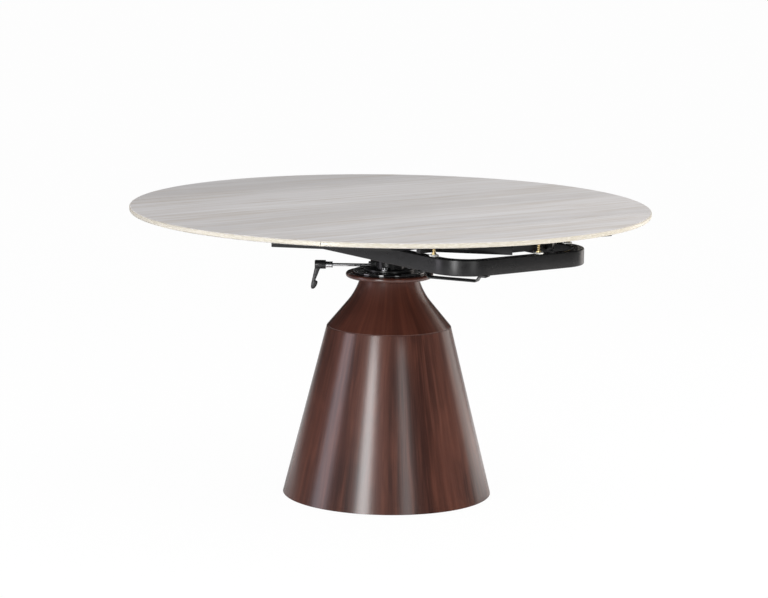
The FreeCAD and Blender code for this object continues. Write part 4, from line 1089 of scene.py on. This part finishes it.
@dataclass
class TopFrames:
    """The steel frames, rails, carrier and seam hinges under the top."""

    shop: Workshop
    edge: float = 1.0
    rail_spacing: float = 150.0
    screw_spacing: float = 180.0
    carrier_underside: float = 710.0
    carrier_screw: Screw = Screw(head=6, tall=3, shank=3, length=20)
    hinge_screw: Screw = Screw(head=3, tall=1, shank=1.5, length=5)
    hinge_pitch: float = 160.0
    hinge_screw_shift: float = 18.0
    fixed_screw_row: float = 417.7
    fixed_screw_height: float = 740.0
    leaf_screw_row: float = 435.5
    leaf_screw_height: float = 733.0
    weld_row: float = 379.0
    weld_bottom: float = 717.0
    weld_top: float = 740.0
    rail_faces: tuple[float, ...] = (-85.0, -65.0, 65.0, 85.0)
    weld_radius: float = 1.4

    def build(self) -> None:
        """Builds the frames, their screws and the hinges."""
        for node in ("middle_frame", "cross_rails", "carrier_plate"):
            self.shop.ease(node, Body.TABLE_TOP, self.edge)
        for side, body in LEAVES.items():
            self.shop.ease(side + "_frame", body, self.edge)
        hinges = ("near_fixed_hinges", "far_fixed_hinges", "near_leaf_hinges", "far_leaf_hinges")
        self.shop.paints.dress(Finish.BLACK_STEEL, *hinges)
        self.shop.paints.dress(Finish.TURNED, "near_hinge_pins", "far_hinge_pins")
        self._carrier_screws()
        self._hinge_screws()
        self._frame_welds()

    def _carrier_screws(self) -> None:
        """Builds the screws up through the carrier."""
        height = self.carrier_underside * MM
        seats = [((x * self.rail_spacing / 2 * MM, y * self.screw_spacing / 2 * MM, height), DOWN)
                 for x in (-1, 1) for y in (-1, 1)]
        self.shop.seat("carrier_screw_heads", self.carrier_screw.flush("carrier_screw"), seats,
                       Finish.BLACK_SCREW, Body.TABLE_TOP, "carrier_screws")

    def _hinge_screws(self) -> None:
        """Builds the hinges' small screws on both sides of each seam."""
        spots = [(centre * self.hinge_pitch + shift * self.hinge_screw_shift) * MM
                 for centre in (-1, 0, 1) for shift in (-1, 1)]
        row, height = self.fixed_screw_row * MM, self.fixed_screw_height * MM
        seats = [((x, side * row, height), DOWN) for side in (-1, 1) for x in spots]
        self.shop.seat("fixed_hinge_screw_heads", self.hinge_screw.flush("fixed_screw"), seats,
                       Finish.BLACK_SCREW, Body.TABLE_TOP, "fixed_hinge_screws")
        row, height = self.leaf_screw_row * MM, self.leaf_screw_height * MM
        for sign, (side, body) in zip((-1.0, 1.0), LEAVES.items()):
            seats = [((x, sign * row, height), (0.0, -sign, 0.0)) for x in spots]
            self.shop.seat(side + "_hinge_screw_heads", self.hinge_screw.flush("leaf_screw"), seats,
                           Finish.BLACK_SCREW, body, side + "_hinge_screws")

    def _frame_welds(self) -> None:
        """Lays the welds where the rails meet the middle frame."""
        runs = [((x, y * self.weld_row, self.weld_bottom), (x, y * self.weld_row, self.weld_top))
                for x in self.rail_faces for y in (-1, 1)]
        self.shop.weld("rail_welds", runs, Body.TABLE_TOP, self.weld_radius)


@dataclass
class SupportLoop:
    """The bent tube that carries the leaves, with its crossbars, straps and bearing."""

    shop: Workshop
    half_width: float = 222.0
    half_length: float = 580.0
    corner: float = 95.0
    tube_width: float = 25.0
    tube_height: float = 40.0
    tube_edge: float = 3.0
    middle_height: float = 685.0
    bar_offset: float = 62.0
    bar_bottom: float = 666.0
    bar_top: float = 703.0
    bar_edge: float = 1.6
    plate_edge: float = 0.7
    plate_side: float = 85.0
    plate_underside: float = 665.0
    plate_weld: tuple[float, float] = (50.0, 74.0)
    collar_radius: float = 39.0
    collar_weld_height: float = 656.5
    strap_weld_height: float = 664.5
    strap_welds: tuple[tuple[float, ...], ...] = ((221.0, 419.8, 204.5, 410.8), (133.0, 579.3, 117.5, 571.0))
    weld_radius: float = 1.8

    def build(self) -> None:
        """Builds the loop and what is welded to it."""
        self._tube()
        self.shop.ease("crossbars", Body.PEDESTAL, self.bar_edge)
        for node in ("corner_straps", "bearing_plate", "hub_plate"):
            self.shop.ease(node, Body.PEDESTAL, self.plate_edge)
        self.shop.paints.dress(Finish.WHITE_NYLON, "thrust_washer")
        self._welds()

    def _tube(self) -> None:
        """Bends the tube."""
        middle = self.tube_width / 2
        carrier = points_object("loop_seat", [((0.0, 0.0, 0.0), UP)])
        piece = self.shop.tubes.grow(
            "support_loop_tube", carrier, 30.0,
            Width=2 * (self.half_width - middle) * MM, Length=2 * (self.half_length - middle) * MM,
            Corner=(self.corner - middle) * MM, Tube_width=self.tube_width * MM,
            Tube_height=self.tube_height * MM, Edge=self.tube_edge * MM, Height=self.middle_height * MM,
            Material=self.shop.paints.get(Finish.BLACK_STEEL))
        self.shop.settle(piece, Finish.BLACK_STEEL, Body.PEDESTAL, "support_loop")

    def _welds(self) -> None:
        """Lays the welds of the crossbars, hub plate, collar and straps."""
        inner = self.half_width - self.tube_width
        half = self.tube_width / 2
        low, high = self.bar_bottom, self.bar_top
        runs = []
        for x in (-inner, inner):
            for y in (-self.bar_offset, self.bar_offset):
                below, above = y - half, y + half
                runs.append(((x, below, high), (x, below, low), (x, above, low), (x, above, high)))
        for x in (-self.plate_side, self.plate_side):
            for y in (-1, 1):
                runs.append(tuple((x, y * end, self.plate_underside) for end in self.plate_weld))
        turns = [math.radians(degrees) for degrees in range(0, 361, 10)]
        runs.append(tuple((self.collar_radius * math.cos(turn), self.collar_radius * math.sin(turn),
                           self.collar_weld_height) for turn in turns))
        height = self.strap_weld_height
        for side in (-1, 1):
            for x, y, end_x, end_y in self.strap_welds:
                runs.append(((side * x, side * y, height), (side * end_x, side * end_y, height)))
        self.shop.weld("loop_welds", runs, Body.PEDESTAL, self.weld_radius)


@dataclass
class LeafGlides:
    """Nylon feet on threaded studs with lock nuts, three under each leaf."""

    shop: Workshop
    places: tuple[tuple[float, float], ...] = ((-209.5, -468.0), (209.5, -468.0), (36.0, -567.5))
    foot_radius: float = 12.0
    foot_bottom: float = 705.3
    core_radius: float = 3.45
    core_top: float = 42.6
    key_radius: float = 6.2
    thread_bottom: float = 8.0
    thread_length: float = 34.0
    thread_turns: float = 27.0
    thread_ridge: float = 0.62
    nut_radius: float = 7.5
    nut_bore: float = 3.6
    nut_tall: float = 8.5
    nut_bottom: float = 733.5

    def build(self) -> None:
        """Builds both leaves' glides."""
        for sign, (side, body) in zip((1.0, -1.0), LEAVES.items()):
            feet, threads, nuts = ([((sign * x * MM, sign * y * MM, height * MM), UP) for x, y in self.places]
                                   for height in (self.foot_bottom, self.foot_bottom + self.thread_bottom,
                                                  self.nut_bottom))
            self._feet(side, body, feet)
            self._studs(side, body, feet)
            self._threads(side, body, threads)
            self._nuts(side, body, nuts)

    def _feet(self, side: str, body: Body, seats: Sequence[Seat]) -> None:
        """Builds the nylon feet.

        Args:
            side: The leaf's side.
            body: The leaf's body.
            seats: Where the feet stand.
        """
        r = self.foot_radius
        rings = round_rings((0, 0), (r - 1.6, 0), (r - 0.5, 0.35), (r, 1.3), (r, 2.6), (r - 0.7, 3.6),
                            (r - 2.4, 4.25), (6.4, 4.7), (0, 4.7))
        foot = Workpiece("glide_foot").turned(rings, 40).done(50.0)
        self.shop.seat(side + "_glide_feet_turned", foot, seats, Finish.WHITE_NYLON, body,
                       side + "_glide_feet")

    def _studs(self, side: str, body: Body, seats: Sequence[Seat]) -> None:
        """Builds the studs' cores, each with a hexagon at its foot.

        Args:
            side: The leaf's side.
            body: The leaf's body.
            seats: Where the feet stand.
        """
        key, core = self.key_radius, self.core_radius
        work = Workpiece("glide_stud")
        hexagon = [Ring(key, 4.5, Outline.HEX), Ring(key, 7.7, Outline.HEX)]
        work.turned([*hexagon, Ring(key - 0.8, 8.2), Ring(0, 8.2)], 36)
        work.turned(round_rings((0, 4.6), (core, 4.6), (core, self.core_top), (0, self.core_top)), 24)
        self.shop.seat(side + "_stud_cores", work.done(25.0), seats, Finish.BRASS, body,
                       side + "_glide_studs")

    def _threads(self, side: str, body: Body, seats: Sequence[Seat]) -> None:
        """Winds the thread's ridge round each stud.

        Args:
            side: The leaf's side.
            body: The leaf's body.
            seats: Where the threads start.
        """
        finish = Finish.BRASS
        carrier = points_object(side + "_thread_seats", seats)
        thread = self.shop.threads.grow(
            side + "_stud_threads", carrier, 60.0, Radius=self.core_radius * MM,
            Length=self.thread_length * MM, Turns=self.thread_turns, Ridge=self.thread_ridge * MM,
            Material=self.shop.paints.get(finish))
        self.shop.settle(thread, finish, body)

    def _nuts(self, side: str, body: Body, seats: Sequence[Seat]) -> None:
        """Builds the lock nuts.

        Args:
            side: The leaf's side.
            body: The leaf's body.
            seats: Where the nuts stand.
        """
        r, bore, tall = self.nut_radius, self.nut_bore, self.nut_tall
        rings = [Ring(bore, 0), Ring(r * 0.84, 0), Ring(r, 0.5, Outline.HEX),
                 Ring(r, tall - 0.5, Outline.HEX), Ring(r * 0.84, tall), Ring(bore, tall)]
        nut = Workpiece("lock_nut").turned(rings, 36, closed=True).done(25.0)
        self.shop.seat(side + "_lock_nuts_turned", nut, seats, Finish.BRASS, body, side + "_lock_nuts")


@dataclass
class Hub:
    """The flange, the hub with its bolts, and the spindle that turns in it."""

    shop: Workshop
    edge: float = 0.9
    bolt: Screw = Screw(head=7.5, tall=6.5, shank=4, length=11)
    bolt_washer: tuple[float, float] = (8.5, 1.5)
    bolt_circle: float = 53.0
    bolt_heading: float = -140.5
    bolt_seat: float = 598.0
    flange_screw: Screw = Screw(head=5, tall=2.5, shank=2.5, length=11)
    flange_circle: float = 80.0
    flange_heading: float = 20.0
    flange_top: float = 592.0

    def build(self) -> None:
        """Builds the hub."""
        self.shop.ease("top_flange", Body.PEDESTAL, self.edge, Finish.GLOSS_BLACK)
        self.shop.ease("hub_housing", Body.PEDESTAL, self.edge)
        self.shop.paints.dress(Finish.BUSH, "upper_bush", "lower_bush")
        self.shop.paints.dress(Finish.TURNED, "spindle", "retaining_ring")
        bolts = circle_seats(3, self.bolt_circle, self.bolt_heading, self.bolt_seat)
        self.shop.seat("hub_bolts_turned", self.bolt.hexagon("hub_bolt", *self.bolt_washer), bolts,
                       Finish.BRIGHT, Body.PEDESTAL, "hub_bolts")
        screws = circle_seats(6, self.flange_circle, self.flange_heading, self.flange_top)
        self.shop.seat("flange_screws_turned", self.flange_screw.flush("flange_screw"), screws,
                       Finish.BLACK_SCREW, Body.PEDESTAL, "flange_screws")


@dataclass
class ClampLever:
    """The clamp: its block, rod and insert, and the moulded lever.

    Each of the arm's levels gives its drop under the rod, the arm's inner and outer face along the rod, and
    its width.
    """

    shop: Workshop
    block_edge: float = 0.8
    block_screw: Screw = Screw(head=4, tall=5, shank=2.5, length=19)
    block_screw_shift: float = 9.5
    block_screw_rise: float = 5.0
    block_face: float = 50.0
    grip_inner: float = 166.0
    grip_length: float = 29.0
    grip_radius: float = 11.5
    hub_radius: float = 5.55
    chamber_radius: float = 7.5
    chamber_depth: float = 12.0
    arm_points: int = 20
    arm_roundness: float = 0.62
    arm_levels: tuple[tuple[float, float, float, float], ...] = (
        (5.5, 178.5, 194.2, 12.2), (10.0, 180.6, 195.4, 11.6), (18.0, 183.6, 196.9, 11.0),
        (27.0, 187.0, 198.8, 10.4), (35.0, 190.2, 200.5, 10.2), (40.5, 192.3, 201.6, 10.4),
        (42.6, 191.6, 202.1, 10.8), (44.6, 187.4, 202.5, 11.2), (48.0, 186.9, 203.2, 11.4),
        (52.5, 188.0, 204.0, 11.2), (57.5, 190.5, 204.5, 10.6), (61.5, 193.4, 204.2, 9.4),
        (64.2, 196.6, 202.8, 6.4))

    def along(self, side: float = 0.0, rise: float = 0.0) -> Matrix:
        """Lays local Z along the rod, with local X pointing down.

        Args:
            side: The shift across the rod in millimetres.
            rise: The shift upwards in millimetres.

        Returns:
            The matrix.
        """
        out = Vector((math.cos(ROD_HEADING), math.sin(ROD_HEADING), 0.0))
        across = Vector((-out.y, out.x, 0.0))
        columns = Matrix((Vector(DOWN), across * -1.0, out)).transposed()
        offset = across * side * MM + Vector((0.0, 0.0, ROD_HEIGHT + rise * MM))
        return Matrix.Translation(offset) @ columns.to_4x4()

    def build(self) -> None:
        """Builds the clamp from the block to the lever's tip."""
        self.shop.ease("clamp_block", Body.PEDESTAL, self.block_edge)
        self.shop.paints.dress(Finish.BRASS, "clamp_pad")
        self._screws()
        self._rod()
        self._grip()

    def _screws(self) -> None:
        """Builds the block's two cap screws."""
        out = (math.cos(ROD_HEADING), math.sin(ROD_HEADING), 0.0)
        face = Vector((0.0, 0.0, self.block_face * MM))
        seats = [(tuple(self.along(side * self.block_screw_shift, self.block_screw_rise) @ face), out)
                 for side in (-1, 1)]
        self.shop.seat("block_screws_turned", self.block_screw.capped("block_screw"), seats, Finish.BRIGHT,
                       Body.PEDESTAL, "block_screws")

    def _lathe(self, node: str, rings: Sequence[Ring], segments: int, finish: Finish = Finish.BRIGHT,
               closed: bool = False) -> None:
        """Turns a piece of the frame anew about the rod's axis and settles it."""
        piece = Workpiece(node + "_turned").turned(rings, segments, self.along(), closed=closed).done()
        self.shop.settle(piece, finish, Body.CLAMP_SHAFT, node)

    def _rod(self) -> None:
        """Builds the rod, the black washer, the insert and the end screw."""
        rod = round_rings((0, 31.1), (3.4, 31.1), (4, 31.7), (4, 163.4), (3.4, 164), (0, 164))
        self._lathe("clamp_rod", rod, 32)
        washer = round_rings((4.05, 148.5), (8.1, 148.5), (8.5, 148.9), (8.5, 149.6), (8.1, 150), (4.05, 150))
        self._lathe("stop_ring", washer, 40, Finish.BLACK_SCREW, closed=True)
        insert = round_rings((4.0, 150), (7.4, 150), (8.0, 150.6), (8.0, 157.2), (7.5, 157.7), (7.5, 158.6),
                             (8.0, 159.1), (8.0, 165.9), (5.45, 165.9), (5.45, 177.6), (5.1, 178), (2.6, 178),
                             (2.6, 164), (4.0, 164))
        self._lathe("lever_insert", insert, 40, closed=True)
        head = round_rings((0, 164.1), (2.5, 164.1), (2.5, 186), (6.9, 186), (7.2, 186.3), (7.2, 188.4),
                           (6.6, 189), (3.4, 189))
        head += [Ring(3.0, 189, Outline.HEX), Ring(3.0, 187.2, Outline.HEX), Ring(0, 187.0)]
        self._lathe("lever_screw", head, 36)

    def _grip(self) -> None:
        """Builds the lever: a hollow head and a hooked arm with soft edges."""
        lay = self.along()
        start, end = self.grip_inner, self.grip_inner + self.grip_length
        r, floor = self.grip_radius, start + self.chamber_depth
        rings = round_rings((self.hub_radius, start), (r - 1.0, start), (r - 0.3, start + 0.3),
                            (r, start + 1.0), (r, end - 2.4), (r - 0.6, end - 0.9), (r - 2.0, end),
                            (self.chamber_radius, end), (self.chamber_radius, floor),
                            (self.hub_radius, floor))
        lever = Workpiece("lever_grip_moulded").turned(rings, 56, lay, closed=True)
        lever.lofted([[lay @ point for point in self._arm_section(*level)] for level in self.arm_levels])
        self.shop.settle(lever.done(50.0), Finish.LEVER, Body.LEVER, "lever_grip")

    def _arm_section(self, drop: float, inner: float, outer: float, width: float) -> list[Vector]:
        """Draws the arm's rounded square section at one level.

        Args:
            drop: The level's drop under the rod.
            inner: The arm's inner face along the rod.
            outer: Its outer face.
            width: Its width.

        Returns:
            The section's points in metres, with local Z along the rod.
        """
        middle, half = (inner + outer) / 2, (outer - inner) / 2
        section = []
        for step in range(self.arm_points):
            turn = 2 * math.pi * step / self.arm_points
            cos, sin = math.cos(turn), math.sin(turn)
            out = math.copysign(abs(cos) ** self.arm_roundness, cos) * half + middle
            across = math.copysign(abs(sin) ** self.arm_roundness, sin) * width / 2
            section.append(Vector((drop, across, out)) * MM)
        return section


@dataclass
class ConePedestal:
    """The veneered cone, neck and cap, with what they hold and stand on."""

    shop: Workshop
    glide_circle: float = 240.0
    ballast_circle: float = 212.0
    ballast_top: float = 31.0
    ballast_screw: Screw = Screw(head=6, tall=3, shank=3, length=22)
    bore: float = 38.2
    shoulder: float = 446.0
    neck_foot: tuple[float, float] = (107.0, 512.0)
    neck_head: tuple[float, float] = (76.0, 575.0)
    neck_hollow: float = 170.0
    neck_steps: int = 14
    cap_top: float = 587.0
    cap_centre: float = 109.0
    cap_edge: float = 5.0

    def build(self) -> None:
        """Builds the pedestal."""
        self._cone()
        self._neck()
        self._cap()
        self.shop.paints.dress(Finish.PLYWOOD, "shoulder_board", "base_ring")
        self.shop.paints.dress(Finish.BLACK_STEEL, "ballast_plate", "column_foot", "column_tube")
        self.shop.paints.dress(Finish.ZINC, "foot_bolts")
        self.shop.seat("ballast_screws_turned", self.ballast_screw.flush("ballast_screw"),
                       circle_seats(6, self.ballast_circle, 0.0, self.ballast_top), Finish.BLACK_SCREW,
                       Body.PEDESTAL, "ballast_screws")
        rings = round_rings((0, 0), (10.8, 0), (12, 0.8), (12, 3), (0, 3))
        disc = Workpiece("floor_glide").turned(rings, 36).done()
        self.shop.seat("floor_glides_turned", disc, circle_seats(6, self.glide_circle, 0.0, 0.0),
                       Finish.BLACK_NYLON, Body.PEDESTAL, "floor_glides")

    def _cone(self) -> None:
        """Builds the cone's shell with its eased edges."""
        top = self.shoulder
        rings = round_rings((260.5, 3), (271.9, 3), (272.4, 3.6), (162.4, top - 1.2), (162.0, top - 0.4),
                            (161.2, top), (149.9, top))
        piece = Workpiece("cone_shell_veneered").turned(rings, 288, closed=True).done(20.0)
        self.shop.settle(piece, Finish.WALNUT_CONE, Body.PEDESTAL, "cone_shell")

    def _neck(self) -> None:
        """Builds the neck, which slopes in from the shoulder and curves up to the cap."""
        low, high = self.shoulder, self.neck_head[1]
        rings = [(self.bore, low), (160.3, low), (160.5, low + 1.8), (160.1, low + 2.2), (107.6, 511.4),
                 *self._hollow_curve(), (self.bore, high)]
        piece = Workpiece("neck_veneered").turned(round_rings(*rings), 288, closed=True).done(20.0)
        self.shop.settle(piece, Finish.WALNUT_NECK, Body.PEDESTAL, "neck")

    def _cap(self) -> None:
        """Builds the round cap with its full edge."""
        bottom, top, edge = self.neck_head[1], self.cap_top, self.cap_edge
        quarters = ((bottom + edge, range(-90, 1, 15)), (top - edge, range(0, 91, 15)))
        turns = [(height, math.radians(angle)) for height, angles in quarters for angle in angles]
        rim = [(self.cap_centre + edge * math.cos(turn), height + edge * math.sin(turn))
               for height, turn in turns]
        rings = [(self.bore, bottom), *rim, (self.bore, top)]
        piece = Workpiece("neck_cap_veneered").turned(round_rings(*rings), 192, closed=True).done(30.0)
        self.shop.settle(piece, Finish.WALNUT_NECK, Body.PEDESTAL, "neck_cap")

    def _hollow_curve(self) -> list[tuple[float, float]]:
        """Draws the neck's hollow curve, whose centre lies outside the wood.

        Returns:
            The curve's points as (radius, height), without its first.
        """
        (foot_x, foot_z), (head_x, head_z) = self.neck_foot, self.neck_head
        run_x, run_z = head_x - foot_x, head_z - foot_z
        length = math.hypot(run_x, run_z)
        rise = math.sqrt(self.neck_hollow ** 2 - (length / 2) ** 2)
        centre_x = (foot_x + head_x) / 2 + run_z / length * rise
        centre_z = (foot_z + head_z) / 2 - run_x / length * rise
        start = math.atan2(foot_z - centre_z, foot_x - centre_x)
        end = math.atan2(head_z - centre_z, head_x - centre_x)
        turns = [start + (end - start) * step / self.neck_steps for step in range(1, self.neck_steps + 1)]
        return [(centre_x + self.neck_hollow * math.cos(turn), centre_z + self.neck_hollow * math.sin(turn))
                for turn in turns]


# Studio


@dataclass(frozen=True)
class Lamp:
    """A soft lamp, placed round the table as the camera sees it.

    Its heading is in degrees from the camera's side, its place and size are in metres and its power is in
    watts. The aim is the height that it points at. One that isn't mirrored shows in no gloss.
    """

    name: str
    heading: float
    distance: float
    height: float
    wide: float
    tall: float
    power: float
    aim: float = 0.4
    colour: Colour = (1.0, 1.0, 1.0)
    mirrored: bool = True


@dataclass
class Studio:
    """The floor, the light and the camera, in metres and degrees, with the lens in millimetres."""

    lens: float = 140.30
    distance: float = 7.6950
    height: float = 1.78555
    pitch: float = 9.373
    yaw: float = -0.101
    roll: float = 0.80
    film_width: float = 36.0
    sight_end: float = 200.0
    floor_reach: float = 30.0
    floor_colour: Colour = (0.90, 0.90, 0.90)
    world: float = 0.42
    glossy: float = 0.035
    floor_glow: float = 0.975
    floor_mirrored: float = 0.08
    lamps: tuple[Lamp, ...] = (
        Lamp("strip_left", -25.5, 3.6, 1.0, 0.78, 2.6, 95),
        Lamp("box_left", -77, 3.0, 0.9, 1.0, 2.4, 26, 0.4, (0.95, 0.90, 1.0)),
        Lamp("strip_right", 23, 3.6, 1.1, 0.75, 2.6, 22),
        Lamp("fill_right", 78, 3.0, 0.9, 2.0, 2.0, 55, 0.4, (1.0, 0.94, 0.90), False),
        Lamp("box_right", 128, 3.0, 1.0, 1.5, 2.2, 15, 0.4, (1.0, 0.92, 0.87)),
        Lamp("overhead", 75, 1.4, 3.4, 2.8, 2.4, 58, 0.7),
    )

    def build(self) -> None:
        """Builds the studio."""
        self._floor()
        self._world()
        for lamp in self.lamps:
            self._lamp(lamp)
        self._camera()
        bpy.context.scene.view_settings.view_transform = "Standard"

    def _turned(self, point: Vector) -> Vector:
        """Turns a point or direction from the camera's side to the table's."""
        return Matrix.Rotation(CAMERA_TURN, 3, "Z") @ point

    def _floor(self) -> None:
        """Lays the pale floor, white to the camera but for a soft shadow."""
        work = Workpiece("studio_floor")
        far = self.floor_reach
        corners = ((-far, -far, 0.0), (far, -far, 0.0), (far, far, 0.0), (-far, far, 0.0))
        work.mesh.faces.new([work.mesh.verts.new(corner) for corner in corners])
        floor = work.done()
        sheet = ShaderSheet("studio_white")
        seen, mirrored = sheet.sight()
        plain = sheet.add("ShaderNodeBsdfDiffuse", sockets={"Color": self.floor_colour})
        glow = sheet.add("ShaderNodeEmission", sockets={"Color": (1.0, 1.0, 1.0), "Strength": 1.0})
        share = seen * self.floor_glow + mirrored * self.floor_mirrored
        blend = sheet.add("ShaderNodeMixShader", sockets={0: share, 1: plain, 2: glow})
        sheet.add("ShaderNodeOutputMaterial", sockets={0: blend})
        floor.data.materials.append(sheet.holder)

    def _world(self) -> None:
        """Makes the background white, with a lower even light on the table."""
        sheet = ShaderSheet("studio_air", air=True)
        bpy.context.scene.world = sheet.holder
        seen, mirrored = sheet.sight()
        levels = [sheet.add("ShaderNodeBackground", sockets={"Color": (1.0, 1.0, 1.0), "Strength": level})
                  for level in (self.world, self.glossy, 1.0)]
        inner = sheet.add("ShaderNodeMixShader", sockets={0: mirrored, 1: levels[0], 2: levels[1]})
        outer = sheet.add("ShaderNodeMixShader", sockets={0: seen, 1: inner, 2: levels[2]})
        sheet.add("ShaderNodeOutputWorld", sockets={0: outer})

    def _lamp(self, lamp: Lamp) -> None:
        """Hangs one lamp.

        Args:
            lamp: The lamp.
        """
        light = bpy.data.lights.new(lamp.name, "AREA")
        light.shape = "RECTANGLE"
        light.size, light.size_y = lamp.wide, lamp.tall
        light.energy = lamp.power
        light.color = lamp.colour
        stand = bpy.data.objects.new(lamp.name, light)
        stand.visible_glossy = lamp.mirrored
        bpy.context.scene.collection.objects.link(stand)
        turn = math.radians(lamp.heading)
        spot = Vector((lamp.distance * math.sin(turn), -lamp.distance * math.cos(turn), lamp.height))
        stand.location = self._turned(spot)
        way = self._turned(Vector((0.0, 0.0, lamp.aim)) - spot)
        stand.rotation_euler = way.to_track_quat("-Z", "Y").to_euler()

    def _camera(self) -> None:
        """Sets up the camera at the photograph's angle."""
        pitch, yaw, roll = (math.radians(angle) for angle in (self.pitch, self.yaw, self.roll))
        ahead = Vector((math.sin(yaw) * math.cos(pitch), math.cos(yaw) * math.cos(pitch), -math.sin(pitch)))
        level = Vector((math.cos(yaw), -math.sin(yaw), 0.0))
        rise = level.cross(ahead)
        right = level * math.cos(roll) + rise * math.sin(roll)
        up = rise * math.cos(roll) - level * math.sin(roll)
        columns = [self._turned(axis) for axis in (right, up, -ahead)]
        lens = bpy.data.cameras.new("camera")
        lens.lens = self.lens
        lens.sensor_width = self.film_width
        lens.clip_end = self.sight_end
        camera = bpy.data.objects.new("camera", lens)
        bpy.context.scene.collection.objects.link(camera)
        spot = self._turned(Vector((0.0, -self.distance, self.height)))
        camera.matrix_world = Matrix.Translation(spot) @ Matrix(columns).transposed().to_4x4()
        bpy.context.scene.camera = camera


def main() -> None:
    """Builds the studio and every sub-assembly in order."""
    logging.basicConfig(level=logging.INFO, format="%(name)s: %(message)s")
    Studio().build()
    shop = Workshop()
    for assembly in (ConePedestal, Hub, ClampLever, SupportLoop, TopFrames, LeafGlides, StoneTop):
        LOG.info("building %s", assembly.__name__)
        assembly(shop).build()


if __name__ == "__main__":
    main()
